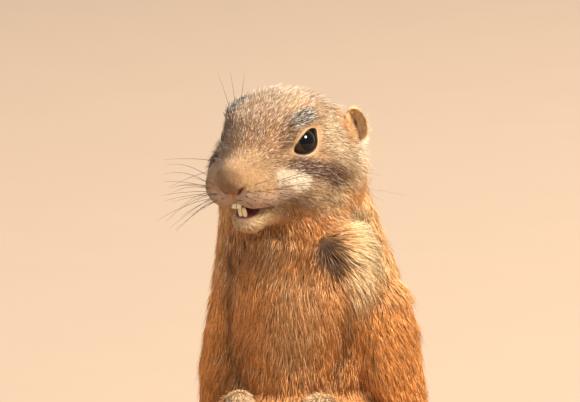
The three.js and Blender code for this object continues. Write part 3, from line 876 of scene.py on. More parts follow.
def nose_lines(local):
    """How far, from 0 to 1, points are in the crease under the nose, a nostril and the lip's groove."""
    left, up, forward = local[:, 0] - NOSE_MIDDLE, local[:, 1], local[:, 2]
    ahead = smooth(forward, 19, 22)
    line = up - (CREASE_UNDER_NOSE + CREASE_BOW * left**2)
    crease = np.exp(-((line / NOSE_CREASE_HALF) ** 2)) * (1 - smooth(np.abs(left), 4.6, 7.2)) * ahead
    nostril = np.zeros(len(local))
    for side in SIDES.values():
        along = (left - NOSTRIL_OUT * side) * side
        over = line - 0.5 - 0.25 * along
        far = np.hypot(along / NOSTRIL_RADII[0], over / NOSTRIL_RADII[1])
        nostril = np.maximum(nostril, 1 - smooth(far, 0.5, 1.1))
    low, high = smooth(up, -24.5, -23), 1 - smooth(up, -18.6, -18)
    groove = np.exp(-((left / GROOVE_HALF) ** 2)) * low * high * ahead
    return crease, nostril * ahead, groove


EAR_HOLLOW = [(22.0, 8.0, -31.9), (23.7, 3.9, -31.5), (25.2, 1.6, -30.0)]
# The hollow's painted shade is darkest within the first radius
EAR_HOLLOW_RADII = (0.8, 1.8)  # within which it is darkest, and where it ends
EAR_HOLLOW_SINK = 0.1
EAR_FOOT = (21.5, 5.5, -28)
EAR_GROWTH = 0.15  # of each ear, from its foot
EAR_LEAN = 0.2  # of each ear, its tip towards the head and its foot away from it


def ear_hollow(local):
    """1 in the hollow of either ear, whose skin is painted dark as shade in the opening."""
    deep = np.zeros(len(local))
    for side in SIDES.values():
        ends = np.array([mirrored(end, side) for end in EAR_HOLLOW])
        for first, second in zip(ends, ends[1:]):
            deep = np.maximum(deep, 1 - smooth(from_line(local, first, second), *EAR_HOLLOW_RADII))
    return deep


DIGIT_CREASE, DIGIT_CREASE_REACH, DIGIT_CREASE_LENGTH = 0.9, 1.1, 9
DIGITS_APART = 12  # at most, for two neighbours on one paw

# Places where the skin swells or sinks a little: the place, how far it reaches and how much
SWELLINGS = (
    (from_head((26, -7, -24)), 5.5, 1.6),
    (from_head((-26, -7, -24)), 5.5, 1.6),
    (stance(-41, -10, 170), 14, -2.0),
    (stance(34.5, -6, 187), 8, 1.3),
)


def between_digits():
    """The line between each two neighbouring digits, from their ends towards the palm or instep."""
    lines = []
    for paw, way in (("forepaw", (0, 0.1, 1)), ("hind", (0, 1, 0.25))):
        for word in SIDES:
            ends = []
            for digit in range(1, 6):
                low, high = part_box(f"claw_{paw}_{word}_{digit}")
                middle = np.array(low + high) / 2 / MM
                size = np.array(high - low) / 2 / MM
                ends.append(middle + np.array(way) * size)
            ends.sort(key=lambda end: end[0])
            for first, second in zip(ends, ends[1:]):
                if np.linalg.norm(second - first) < DIGITS_APART:
                    start = (first + second) / 2
                    lines.append((start, start + np.array(way) * DIGIT_CREASE_LENGTH))
    return lines


def modelled(points, normals):
    """Models the lip's pads, the nose, the ears, the furrows of the chest and those between the digits."""
    local = to_head(points)
    middle = np.array((NOSE_MIDDLE, 0, 0))
    shift = -EAR_HOLLOW_SINK * ear_hollow(local)
    shift -= CREASE_DEPTH * chest_crease(points) * (1 - smooth(points[:, 2], 190, 200))
    for place, reach, rise in SWELLINGS:
        shift += rise * np.exp(-((np.linalg.norm(points - place, axis=-1) / reach) ** 2))
    for side in SIDES.values():
        pad = np.linalg.norm(local - middle - np.array(mirrored(LIP_PAD_AT, side)), axis=-1)
        shift += LIP_PAD_RISE * np.exp(-((pad / LIP_PAD_REACH) ** 2))
    bulb = np.linalg.norm((local - middle - np.array(BULB_AT)) / np.array(BULB_RADII), axis=-1)
    shift += BULB_RISE * np.exp(-(bulb**6))
    for start, end in between_digits():
        shift -= DIGIT_CREASE * np.exp(-((from_line(points, start, end) / DIGIT_CREASE_REACH) ** 2))
    crease, nostril, groove = nose_lines(local)
    shift -= CREASE_SINK * crease + NOSTRIL_SINK * nostril + GROOVE_SINK * groove
    behind, above = 1 - smooth(local[:, 2], -26, -23), smooth(local[:, 1], -3, 0)
    on_ear = smooth(np.abs(local[:, 0]), 20, 23) * behind * above
    outwards = np.sign(local[:, 0]) * on_ear * (6 - local[:, 1]) * EAR_LEAN
    lean = head_vector((1, 0, 0)) * outwards[:, None]
    for side in SIDES.values():
        foot = from_head(mirrored(EAR_FOOT, side))
        mine = on_ear * (local[:, 0] * side > 0)
        lean += (points - foot) * (mine * EAR_GROWTH)[:, None]
    return points + normals * shift[:, None] + lean


BARE_LIDS = (0.45, 0.8)
DARK_LIDS = (0.3, 0.6)


def bare_at(points, normals):
    """1 where the skin has no coat: lids, nose, mouth, soles and the hollow of each ear."""
    local = to_head(points)
    lids = 1 - smooth(lid_gap(points), *BARE_LIDS)
    sole = smooth(-normals[:, 2], 0.5, 0.9) * (1 - smooth(points[:, 2], 1.0, 3.0))
    crease, nostril, groove = nose_lines(local)
    nose = np.clip(crease * 0.9 + nostril * 1.5 + groove * 0.7, 0, 1)
    return np.max([lids, sole, mouth_gap(points), nose, ear_hollow(local) * 0.95], axis=0)


# How far the solids are grown, so that they meet in one body, and how far the skin is under the coat
FLESH_GROWTH, EYE_GROWTH = 0.25, 0.8
UNDER_COAT = 0.2
LOWEST_SKIN, LOWEST_HAIR = 0.05, 0.04
TAIL_BRUSH_FROM = 58.0  # behind this place the flesh of the tail ends early, and long hair makes its tip
TAIL_BRUSH_SHARE = 0.3
MUZZLE_AT = (0, -14, 24)
MUZZLE_REACH = 15.0


def make_skin(settings):
    copies = [merged_copy(name, FLESH_GROWTH) for name in FLESH]
    copies += [merged_copy(f"eye_{word}", EYE_GROWTH) for word in SIDES]
    skin = join(copies, "skin")
    modified(skin, "REMESH", mode="VOXEL", voxel_size=settings.voxel * MM, adaptivity=0)
    modified(skin, "TRIANGULATE")
    points, corners = vertices_of(skin), corners_of(skin)
    points = relaxed(points, corners, 5, 0.5)
    soft_normals = unit(relaxed(vertex_normals(points, corners), corners, 6, 0.6))
    height = lie_at(points, soft_normals)[3]
    points = points - soft_normals * (height + UNDER_COAT)[:, None]
    points[:, 2] = np.maximum(points[:, 2], LOWEST_SKIN)
    points[:, 1] -= np.maximum(points[:, 1] - TAIL_BRUSH_FROM, 0) * TAIL_BRUSH_SHARE
    move_vertices(skin, points)
    thin_body(skin, settings.triangles)
    finer_muzzle(skin)
    points, corners = vertices_of(skin), corners_of(skin)
    points = modelled(points, vertex_normals(points, corners))
    move_vertices(skin, points)
    for side in SIDES.values():
        open_lids(skin, side)
    points, corners = vertices_of(skin), corners_of(skin)
    normals = vertex_normals(points, corners)
    bare = bare_at(points, normals)
    tone_vertices(skin, "tone", shaded_skin(points, markings(points)[0], bare))
    tone_vertices(skin, "bare", bare)
    return skin


def split_within(mesh, marked):
    """Splits the faces of a bmesh between its marked corners."""
    edges = [e for e in mesh.edges if e.verts[0] in marked and e.verts[1] in marked]
    bmesh.ops.subdivide_edges(mesh, edges=edges, cuts=1, use_grid_fill=True)
    bmesh.ops.triangulate(mesh, faces=[f for f in mesh.faces if len(f.verts) > 3])


def finer_muzzle(skin):
    """Splits the faces of the muzzle, so that the nose and the lips can be modelled on it."""
    mesh = bmesh.new()
    mesh.from_mesh(skin.data)
    verts = list(mesh.verts)
    local = to_head(np.array([v.co for v in verts]) / MM)
    close = np.linalg.norm(local - np.array(MUZZLE_AT), axis=-1) < MUZZLE_REACH
    split_within(mesh, {verts[i] for i in np.flatnonzero(close)})
    mesh.to_mesh(skin.data)
    mesh.free()


def shaded_skin(points, colour, bare):
    """Under the coat the skin is darker, partly for the darker underfur and partly as painted shade under
    the hair, and the bare places have their own colours.
    """
    local = to_head(points)
    short = smooth(points[:, 2], 205, 215)[:, None]
    # Darker underfur and painted shade: the skin under the coat is darkened, less where the coat is short
    under = colour * (0.5 + 0.25 * short) * np.array((1, 0.9, 0.8))
    own = colour.copy()
    whorl = np.exp(-((np.linalg.norm(points - WHORL_AT, axis=-1) / 6) ** 2))[:, None]
    under = under * (1 - 0.6 * whorl)
    crease, nostril, groove = nose_lines(local)
    lids = 1 - smooth(lid_gap(points), *DARK_LIDS)
    for weight, name, dim in (
        (np.clip(crease * 0.9 + groove * 0.7, 0, 1), "pad", 0.8),
        # The nostrils are painted near black: painted shade in their openings
        (nostril, "mouth", 0.35),
        (mouth_gap(points), "mouth", 0.9),
        # The hollow of each ear is painted dark brown: painted shade in the ear's opening
        (ear_hollow(local), "brown", 0.3),
        (lids, "lid", 1.0),
    ):
        own += (COAT[name] * dim - own) * weight[:, None]
    return under + (own - under) * bare[:, None]


LID_REACH = 4.5  # from the lid line to where the skin is as it was
LID_OVER_BALL = 0.62
LID_ROLL, LID_ROLL_AT, LID_ROLL_HALF = 0.35, 0.8, 0.5  # of the thick edge along each lid
LID_EDGE = ((0.955, 0.38), (0.95, 0.12), (1.0, -0.5))  # its size and its rise over the ball, inwards


def open_lids(skin, side):
    """Lays the skin over the eyeball, cuts the opening and turns its edge in under the lids."""
    centre, axis, long, high = EYES[side]
    mesh = bmesh.new()
    mesh.from_mesh(skin.data)

    def gaps(verts):
        points = np.array([v.co for v in verts]) / MM
        return points, *by_eye(points, side)

    verts = list(mesh.verts)
    points, gap, far = gaps(verts)
    near = (far < EYE_RADIUS + 7) & (gap < LID_REACH)
    for i in np.flatnonzero(near):
        away = unit(points[i] - centre)
        roll = np.exp(-(((gap[i] - LID_ROLL_AT) / LID_ROLL_HALF) ** 2))
        ball = EYE_RADIUS + LID_OVER_BALL + LID_ROLL * roll
        keep = smooth(gap[i], 0.9, LID_REACH)
        verts[i].co = Vector((centre + away * (ball * (1 - keep) + far[i] * keep)) * MM)
    for _ in range(2):
        verts = list(mesh.verts)
        points, gap, far = gaps(verts)
        close = (far < EYE_RADIUS + 3) & (np.abs(gap) < 1.3)
        split_within(mesh, {verts[i] for i in np.flatnonzero(close)})
    verts = list(mesh.verts)
    points, gap, far = gaps(verts)
    inside = {verts[i] for i in np.flatnonzero((far < EYE_RADIUS + 3) & (gap < 0))}
    gone = [f for f in mesh.faces if all(v in inside for v in f.verts)]
    bmesh.ops.delete(mesh, geom=gone, context="FACES")
    loose = [v for v in mesh.verts if not v.link_faces]
    bmesh.ops.delete(mesh, geom=loose, context="VERTS")
    rim = [e for e in mesh.edges if len(e.link_faces) == 1 and all(v in inside for v in e.verts)]
    ring = {v for e in rim for v in e.verts}

    def lid_place(co, scale, ball):
        away = np.array(co) / MM - centre
        along, over = away @ long, away @ high
        share = almond(np.array([along]), np.array([over]))[0]
        along = LID_MIDDLE[0] + (along - LID_MIDDLE[0]) / share * scale
        over = LID_MIDDLE[1] + (over - LID_MIDDLE[1]) / share * scale
        out = np.sqrt(max(ball**2 - along**2 - over**2, 0.01))
        return Vector((centre + long * along + high * over + axis * out) * MM)

    for vert in ring:
        vert.co = lid_place(vert.co, 1.0, EYE_RADIUS + LID_OVER_BALL)
    for scale, rise in LID_EDGE:
        made = bmesh.ops.extrude_edge_only(mesh, edges=rim)["geom"]
        fresh = [g for g in made if isinstance(g, bmesh.types.BMVert)]
        for vert in fresh:
            vert.co = lid_place(vert.co, scale, EYE_RADIUS + rise)
        rim = [g for g in made if isinstance(g, bmesh.types.BMEdge) and len(g.link_faces) == 1]
    bmesh.ops.triangulate(mesh, faces=[f for f in mesh.faces if len(f.verts) > 3])
    mesh.to_mesh(skin.data)
    mesh.free()


TRUNK_UNDER = (185, 200)
PAW_REACH = (14, 20)


def thin_body(skin, target):
    """Fewer triangles on the trunk and limbs, under the long coat, and all of them kept on the head."""
    total = len(skin.data.polygons)
    if total <= target:
        return
    points = vertices_of(skin)
    local = to_head(points)
    body = 1 - smooth(points[:, 2] + local[:, 2] * 0.4, *TRUNK_UNDER)
    paws = np.zeros(len(points))
    for side in SIDES.values():
        for centre in (arm_points(side)[4], leg_points(side)[5]):
            far = np.linalg.norm(points - centre, axis=-1)
            paws = np.maximum(paws, 1 - smooth(far, *PAW_REACH))
    weight = np.clip(body - paws * 0.8, 0, 1)
    group = skin.vertex_groups.new(name="trunk")
    for level in range(1, 11):
        chosen = np.flatnonzero((weight > (level - 1) / 10) & (weight <= level / 10))
        group.add(chosen.tolist(), level / 10, "REPLACE")
    modified(skin, "DECIMATE", ratio=target / total, vertex_group="trunk", vertex_group_factor=1.0)
    modified(skin, "TRIANGULATE")
    skin.vertex_groups.clear()


def unwrapped(skin):
    """An unwrap of the skin's own shape, as a corner's place for each triangle."""
    skin.data.uv_layers.new(name="unwrap")
    edited(skin, bpy.ops.uv.smart_project, angle_limit=radians(70), island_margin=0.002)
    flat = np.empty(len(skin.data.loops) * 2, np.float32)
    skin.data.uv_layers["unwrap"].data.foreach_get("uv", flat)
    return flat.reshape(-1, 3, 2).astype(float)


# Coat


class Roots:
    """Places on the skin that hairs grow from."""

    def __init__(self, skin, unwrap, density_of, rng):
        points, corners = vertices_of(skin), corners_of(skin)
        normals = vertex_normals(points, corners)
        a, b, c = (points[corners[:, i]] for i in range(3))
        area = np.linalg.norm(np.cross(b - a, c - a), axis=-1) / 2
        middles = (a + b + c) / 3
        middle_normals = unit(sum(normals[corners[:, i]] for i in range(3)))
        wanted = area * density_of(middles, middle_normals)
        number = np.floor(wanted + rng.random(len(wanted))).astype(int)
        face = np.repeat(np.arange(len(corners)), number)
        u, v = rng.random((2, len(face)))
        over = u + v > 1
        u, v = np.where(over, 1 - u, u), np.where(over, 1 - v, v)
        mix = np.stack([1 - u - v, u, v], -1)[..., None]
        self.points = (points[corners[face]] * mix).sum(1)
        self.normals = unit((normals[corners[face]] * mix).sum(1))
        self.places = (unwrap[face] * mix).sum(1)


def tangled(points, tips, pull, rng):
    """Tips drawn together into locks, each about a chosen root."""
    chosen = rng.choice(len(points), max(len(points) // TUFTS_A_LOCK, 1), replace=False)
    tree = KDTree(len(chosen))
    for i, place in enumerate(points[chosen]):
        tree.insert(place, i)
    tree.balance()
    lock = np.array([tree.find(place)[1] for place in points])
    way = tips - points
    centre = points[chosen][lock] + way[chosen][lock] * 0.85
    return tips + (centre - tips) * pull[:, None], lock


TUFT_FACES = ((0, 2, 1), (0, 3, 2), (0, 1, 3), (1, 2, 4), (2, 3, 4), (3, 1, 4))
TUFT_PLACES = ((0.5, 0), (0, 0.42), (1, 0.42), (0.5, 0.5), (0.5, 1))
TUFT_BEND = 0.42  # of its length, where it is widest
TUFT_THICKNESS = 0.4  # of its width
PATCH_SIZE = 0.003  # of a tuft on the unwrap of the skin
ROOT_DEPTH = 0.3  # under the skin
LENGTHS, HEIGHTS, WIDTHS = (0.7, 1.15), (0.6, 1.1), (0.75, 1.2)  # how much single hairs vary
GUARD_LENGTH, GUARD_WIDTH, GUARD_TANGLE = 1.4, 0.6, 0.05
TUFTS_A_LOCK = 7
MOST_TUFTS = 33000  # in one piece
HAIR_OFF_LIDS = 0.15


def tuft_mesh(name, roots, middles, tips, sides, ups, width, tones, places):
    """One closed three-sided tuft for each root, widest at its middle and bent there."""
    number = len(roots)
    across = sides * width[:, None] / 2
    thick = ups * width[:, None] * TUFT_THICKNESS
    verts = np.stack([roots, middles - across, middles + across, middles + thick, tips], 1)
    verts[..., 2] = np.maximum(verts[..., 2], LOWEST_HAIR)
    count = verts.shape[1]
    loops = np.array(TUFT_FACES).ravel()
    offset = np.arange(number)[:, None]
    mesh = bpy.data.meshes.new(name)
    mesh.vertices.add(number * count)
    mesh.vertices.foreach_set("co", (verts * MM).astype(np.float32).ravel())
    mesh.loops.add(number * len(loops))
    mesh.loops.foreach_set("vertex_index", (loops + offset * count).astype(np.int32).ravel())
    mesh.polygons.add(number * len(TUFT_FACES))
    mesh.polygons.foreach_set("loop_start", np.arange(0, number * len(loops), 3, dtype=np.int32))
    mesh.update(calc_edges=True)
    layer = mesh.color_attributes.new(name="tone", type="FLOAT_COLOR", domain="POINT")
    rgba = np.ones((number, count, 4), np.float32)
    rgba[:, 0, :3] = tones[0]
    rgba[:, 1:4, :3] = tones[1][:, None]
    rgba[:, 4, :3] = tones[2]
    layer.data.foreach_set("color", rgba.ravel())
    bake = mesh.uv_layers.new(name="OFBake")
    patch = (np.array(TUFT_PLACES) - 0.5) * PATCH_SIZE
    corner_places = np.clip(places[:, None] + patch[loops], 0, 1)
    bake.data.foreach_set("uv", corner_places.astype(np.float32).ravel())
    return linked(name, mesh)


def crossing_eye(points):
    return lid_gap(points) < HAIR_OFF_LIDS


def grow_coat(skin, unwrap, settings):
    rng = np.random.default_rng(settings.seed)

    def density_of(points, normals):
        *_, density = lie_at(points, normals)
        bare = bare_at(points, normals)
        return density * settings.fullness * np.clip(1 - bare * 1.1, 0, 1)

    roots = Roots(skin, unwrap, density_of, rng)
    points, normals = roots.points, roots.normals
    number = len(points)
    flow, length, width, height, _ = lie_at(points, normals)
    sides = unit(np.cross(normals, flow))
    turn = radians(16) * (waver(points, 7, 11) + 0.6 * waver(points, 2.2, 12))
    turn = turn + rng.normal(0, radians(8), number)
    flow = flow * np.cos(turn)[:, None] + sides * np.sin(turn)[:, None]
    sides = unit(np.cross(normals, flow))
    guard = rng.random(number) < settings.guards
    length = length * rng.uniform(*LENGTHS, number) * np.where(guard, GUARD_LENGTH, 1)
    lift = 1.5 + 0.8 * smooth(points[:, 2], 225, 235)
    height = height * rng.uniform(*HEIGHTS, number) * np.where(guard, lift, 1)
    width = width * rng.uniform(*WIDTHS, number) * np.where(guard, GUARD_WIDTH, 1)
    first = np.clip(1.5 * height / length, 0.02, 0.85)[:, None]
    second = np.clip(0.5 * height / length, 0.0, 0.6)[:, None]
    starts = points - normals * ROOT_DEPTH
    lower, upper = (length * TUFT_BEND)[:, None], (length * (1 - TUFT_BEND))[:, None]
    middles = starts + lower * (flow * np.sqrt(1 - first**2) + normals * first)
    tips = middles + upper * (flow * np.sqrt(1 - second**2) + normals * second)
    tips, lock = tangled(points, tips, np.where(guard, GUARD_TANGLE, settings.tangle), rng)
    keep = ~(crossing_eye(tips) | crossing_eye(middles))
    colour, silver, ticks = markings(points)
    lock_tone = rng.normal(0, 0.07, lock.max() + 1)[lock]
    bright = (1 + lock_tone + rng.normal(0, 0.09, number) + 0.06 * waver(points, 5, 21))[:, None]
    warm = rng.normal(0, 0.035, number)[:, None] * np.array((1, 0, -1))
    middle_tone = np.clip(colour * bright * (1 + warm), 0.004, 1)
    root_tone = middle_tone * np.array((0.62, 0.54, 0.46))
    pick = rng.random(number)
    tip_tone = middle_tone * 1.15
    pale = (pick > 1 - silver)[:, None]
    dark = (pick < ticks)[:, None]
    frost = (0.55 + 0.45 * smooth(points[:, 2], 200, 215))[:, None]
    tip_tone = np.where(pale, (COAT["white"] * frost + colour * (1 - frost)) * bright, tip_tone)
    tip_tone = np.clip(np.where(dark, COAT["brown"] * 0.4, tip_tone), 0, 1)
    silvered = middle_tone * (1 - 0.6 * frost) + COAT["white"] * 0.6 * frost
    middle_tone = np.where(pale, silvered, middle_tone)
    middle_tone = np.where(dark, middle_tone * 0.45, middle_tone)
    part = part_of(points)
    look = fur_look()
    for name, slot in COAT_SLOTS.items():
        mine = np.flatnonzero(keep & (part == name))
        shares = max(1, -(-len(mine) // MOST_TUFTS))
        for share, some in enumerate(np.array_split(mine, shares)):
            if not len(some):
                continue
            tones = (root_tone[some], middle_tone[some], tip_tone[some])
            piece = tuft_mesh(
                f"coat_{name}_{share + 1}", starts[some], middles[some], tips[some],
                sides[some], normals[some], width[some], tones, roots.places[some],
            )
            dressed(piece, look, slot)


# The pieces of the coat and the slot of each
COAT_SLOTS = {"face": "face", "crown": "face"}
COAT_SLOTS |= dict.fromkeys(("neck", "chest", "belly", "back", "arms", "legs"), "coat")
COAT_SLOTS["tail"] = "tail_tip"


def part_of(points):
    """The name of the coat piece that each root belongs to."""
    local = to_head(points)
    x, y, z = (points - BODY_SHIFT).T
    part = np.where(y > 12, "back", np.where(z > 128, "chest", "belly"))
    part = np.where(z > 196, "neck", part)
    part = np.where((z < 60) & (np.abs(x) > 22) & (y < 30), "legs", part)
    part = np.where(y > 58, "tail", part)
    for side in SIDES.values():
        _, elbow, wrist, _, fingers = arm_points(side)
        near = (from_line(points, elbow, wrist) < 11) | (from_line(points, wrist, fingers) < 9)
        part = np.where(near & (y < -12), "arms", part)
    head = (local[:, 1] + local[:, 2] * 0.35 > -30) & (local[:, 2] > -40) & (z > 200)
    return np.where(head, np.where(local[:, 2] > -6, "face", "crown"), part)


# Eyes, whiskers, claws and teeth


CORNEA_RISE = 0.35
CORNEA_EDGE = (15, 55)  # degrees from the middle of the eye
IRIS_ANGLE = 70  # at which the attribute of the iris is full


def make_eye(word, material):
    side = SIDES[word]
    centre, axis = EYES[side][:2]
    deselect()
    turn = Vector(axis).to_track_quat("Z", "Y").to_euler()
    bpy.ops.mesh.primitive_uv_sphere_add(
        segments=64, ring_count=40, radius=EYE_RADIUS * MM, location=Vector(centre * MM), rotation=turn
    )
    eye = bpy.context.object
    eye.name = eye.data.name = f"eyeball_{word}"
    bpy.ops.object.transform_apply(location=True, rotation=True, scale=True)
    points = vertices_of(eye)
    away = points - centre
    front = unit(away) @ axis
    angle = np.degrees(np.arccos(np.clip(front, -1, 1)))
    cornea = CORNEA_RISE * (1 - smooth(angle, *CORNEA_EDGE))
    move_vertices(eye, points + unit(away) * cornea[:, None])
    tone_vertices(eye, "iris", np.clip(angle / IRIS_ANGLE, 0, 1))
    return dressed(eye, material, "eye", f"eye_{word}")


def tube_mesh(name, lines, radii, sides=5):
    """Closed tapered tubes along lines of points, with their share of the length as an attribute."""
    verts, faces, along = [], [], []
    for line, radius in zip(lines, radii):
        base = len(verts)
        count = len(line)
        for i, point in enumerate(line):
            way = Vector(line[min(i + 1, count - 1)] - line[max(i - 1, 0)]).normalized()
            side = way.cross(Vector((0.3, 0.2, 1))).normalized()
            up = side.cross(way)
            share = i / (count - 1)
            thick = radius * (1 - share) ** 0.75 + 0.02
            for k in range(sides):
                angle = 2 * pi * k / sides
                verts.append(Vector(point) + (side * cos(angle) + up * sin(angle)) * thick)
                along.append(share)
        for i in range(count - 1):
            for k in range(sides):
                a, b = base + i * sides + k, base + i * sides + (k + 1) % sides
                faces.append((a, b, b + sides, a + sides))
        faces.append(tuple(base + k for k in reversed(range(sides))))
        faces.append(tuple(base + (count - 1) * sides + k for k in range(sides)))
    mesh = bpy.data.meshes.new(name)
    mesh.from_pydata([v * MM for v in verts], [], faces)
    obj = linked(name, mesh)
    tone_vertices(obj, "along", np.array(along))
    return obj


# Those over the eyes: root and way as left, up and forward of the head, and length
BROW_WHISKERS = (
    ((-16.5, 12.5, -1.5), (-0.3, 1, 0.1), 16),
    ((-15.0, 14.0, -3.0), (-0.12, 1, 0.05), 15),
    ((-13.0, 14.5, -5.0), (0.1, 1, 0.0), 12),
    ((14.5, 10.5, 3.0), (0.15, 1, 0.2), 11),
    ((16.0, 11.5, 0.0), (0.3, 1, 0.0), 12),
)


def whisker_lines(skin_tree, settings):
    """Whiskers of the muzzle in rows, and the few of each cheek and brow."""
    rng = np.random.default_rng(settings.seed + 7)
    lines, radii = [], []

    def whisker(luf, way, length, radius, droop):
        root = np.array(skin_tree.find_nearest(Vector(from_head(luf) * MM))[0]) / MM
        way = unit(head_vector(unit(np.array(way, float))))
        bend = unit(head_vector((0, -1, -0.35)) + rng.normal(0, 0.3, 3))
        steps = np.linspace(0, 1, 13)[:, None]
        line = root - way * 0.6 + way * length * steps + bend * droop * length * steps**2
        lines.append(line)
        radii.append(radius)

    for side in SIDES.values():
        for index, root in enumerate(WHISKER_ROOTS[side]):
            row, place = divmod(index, WHISKERS_A_ROW)
            if rng.random() < WHISKERS_LEFT_OUT:
                continue
            way = np.array((1.0, 0.34 - 0.24 * row + 0.03 * place, 0.3 - 0.22 * place))
            way = way + rng.normal(0, WHISKER_LEAN, 3)
            length = rng.uniform(0.8, 1.1) * (13 + 6.5 * place - 1.5 * row)
            droop = rng.uniform(0.05, 0.25)
            whisker(root, mirrored(way, side), length, MUZZLE_WHISKER, droop)
        for i in range(2):
            cheek = ((22 + i) * side, -9 - 3 * i, -6)
            way = (side, 0.05 - 0.3 * i, -0.25)
            whisker(cheek, way, rng.uniform(20, 26), CHEEK_WHISKER, 0.15)
    for place, way, length in BROW_WHISKERS:
        whisker(place, way, length, BROW_WHISKER, 0.08)
    return lines, radii


def make_claws(material):
    nodes = sorted(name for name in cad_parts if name.startswith("claw_"))
    claws = []
    for name in nodes:
        claw = merged_copy(name)
        points = vertices_of(claw)
        far = -points[:, 1] if "hind" in name else -points[:, 2]
        share = (far - far.min()) / (far.max() - far.min())
        tone_vertices(claw, "along", share)
        modified(claw, "SUBSURF", levels=1, render_levels=1)
        claws.append(claw)
    whole = join(claws, "claws")
    return dressed(whole, material, "claw", *nodes)


# Each pair of front teeth: its node, root and tip as up and forward of the head, and the size of a tooth
TOOTH_PAIRS = (
    ("upper_incisors", (-16.2, 20.8), (-23.9, 23.1), 2.0, 1.8),
    ("lower_incisors", (-29.4, 14.6), (-23.2, 18.9), 1.65, 1.6),
)
TOOTH_BOW = 0.55
TOOTH_GAP = 0.05


def tooth_pair(name, root, tip, wide, thick):
    """Two long front teeth side by side, bowed forward and cut to an edge at the tip."""
    root, tip = np.array(root), np.array(tip)
    ahead = np.array((-(tip - root)[1], (tip - root)[0]))
    ahead = ahead / np.linalg.norm(ahead) * np.sign(ahead[1])
    rows, ring = 12, 16
    angle = np.arange(ring) * 2 * pi / ring
    squared = [np.sign(wave) * np.abs(wave) ** 0.6 for wave in (np.cos(angle), np.sin(angle))]
    points, faces = [], []
    for side in SIDES.values():
        base = len(points)
        for share in np.linspace(0, 1, rows):
            chisel = smooth(share, 0.7, 1.0)
            middle = root + (tip - root) * share + ahead * TOOTH_BOW * 4 * share * (1 - share)
            across = side * (wide / 2 + TOOTH_GAP) + squared[0] * wide / 2 * (1 - 0.1 * chisel)
            deep = squared[1] * thick / 2 * (1 - 0.75 * chisel) + 0.3 * thick * chisel
            points += [(left, *(middle + ahead * out)) for left, out in zip(across, deep)]
        for row in range(rows - 1):
            for k in range(ring):
                a, b = base + row * ring + k, base + row * ring + (k + 1) % ring
                faces.append((a, b, b + ring, a + ring))
        faces.append(tuple(base + k for k in reversed(range(ring))))
        faces.append(tuple(base + (rows - 1) * ring + k for k in range(ring)))
    mesh = bpy.data.meshes.new(name)
    mesh.from_pydata([Vector(from_head(point)) * MM for point in points], [], faces)
    pair = linked(name, mesh)
    edited(pair, bpy.ops.mesh.normals_make_consistent, inside=False)
    return pair


def make_teeth(material):
    for node, root, tip, wide, thick in TOOTH_PAIRS:
        pair = tooth_pair(node + "_enamel", root, tip, wide, thick)
        dressed(pair, material, "tooth", node)


# Stage and view

PX_PER_MM = 2.6
PICTURE = (580, 402)
VIEW_TURN = radians(12)
VIEW_RISE = radians(8)
VIEW_FROM = 2500.0
VIEW_MIDDLE = (-6.54, 214.5, 60)  # of the picture: right, up and towards the camera
LIT_PLACE = (-0.004, -0.05, 0.2)  # in metres, where every lamp points


def make_view():
    right = np.array((cos(VIEW_TURN), sin(VIEW_TURN), 0))
    back = np.array((sin(VIEW_TURN) * cos(VIEW_RISE), -cos(VIEW_TURN) * cos(VIEW_RISE), sin(VIEW_RISE)))
    up = np.cross(back, right)
    across, rise, near = VIEW_MIDDLE
    target = right * across + up * rise + back * near + BODY_SHIFT
    camera = bpy.data.cameras.new("camera")
    camera.sensor_width = 36
    camera.lens = 36 * VIEW_FROM / (PICTURE[0] / PX_PER_MM)
    camera.clip_end = 100
    obj = linked("camera", camera)
    turn = Matrix(np.stack([right, up, back], 1).tolist()).to_4x4()
    obj.matrix_world = Matrix.Translation(Vector((target + back * VIEW_FROM) * MM)) @ turn
    bpy.context.scene.camera = obj


def softbox(name, azimuth, rise, distance, size, power, colour):
    light = bpy.data.lights.new(name, "AREA")
    light.shape, light.size, light.energy, light.color = "DISK", size, power, colour
    obj = linked(name, light)
    around, rise = radians(azimuth), radians(rise)
    way = Vector((sin(around) * cos(rise), -cos(around) * cos(rise), sin(rise)))
    obj.location = Vector(LIT_PLACE) + way * distance
    obj.rotation_euler = way.to_track_quat("Z", "Y").to_euler()


def make_stage(settings):
    deselect()
    bpy.ops.mesh.primitive_plane_add(size=30, location=(0, 0, 0))
    floor = bpy.context.object
    floor.name = "floor"
    look = Look("floor")
    grain = look.noise(14, 3)
    colour = look.mix(grain, tuple(np.array(settings.floor) * 0.96), tuple(settings.floor))
    look.finish(Base_Color=colour, Roughness=look.ramp(grain, 0, 1, 0.8, 0.9))
    floor.data.materials.append(look.material)
    world = bpy.data.worlds.new("studio")
    world.use_nodes = True
    background = world.node_tree.nodes["Background"]
    background.inputs["Color"].default_value = (0.9, 0.93, 1.0, 1)
    background.inputs["Strength"].default_value = settings.fill
    bpy.context.scene.world = world
    bpy.context.scene.view_settings.view_transform = "Standard"
    softbox("key", 74, 37, 4.5, 1.2, settings.key, (1.0, 0.91, 0.77))
    softbox("rim", 160, 45, 4.5, 1.8, settings.key * 0.35, (1.0, 0.92, 0.82))
    softbox("sky", -12, 36, 4.5, 4.5, settings.key * 0.26, (0.84, 0.90, 1.0))


# Settings and operators


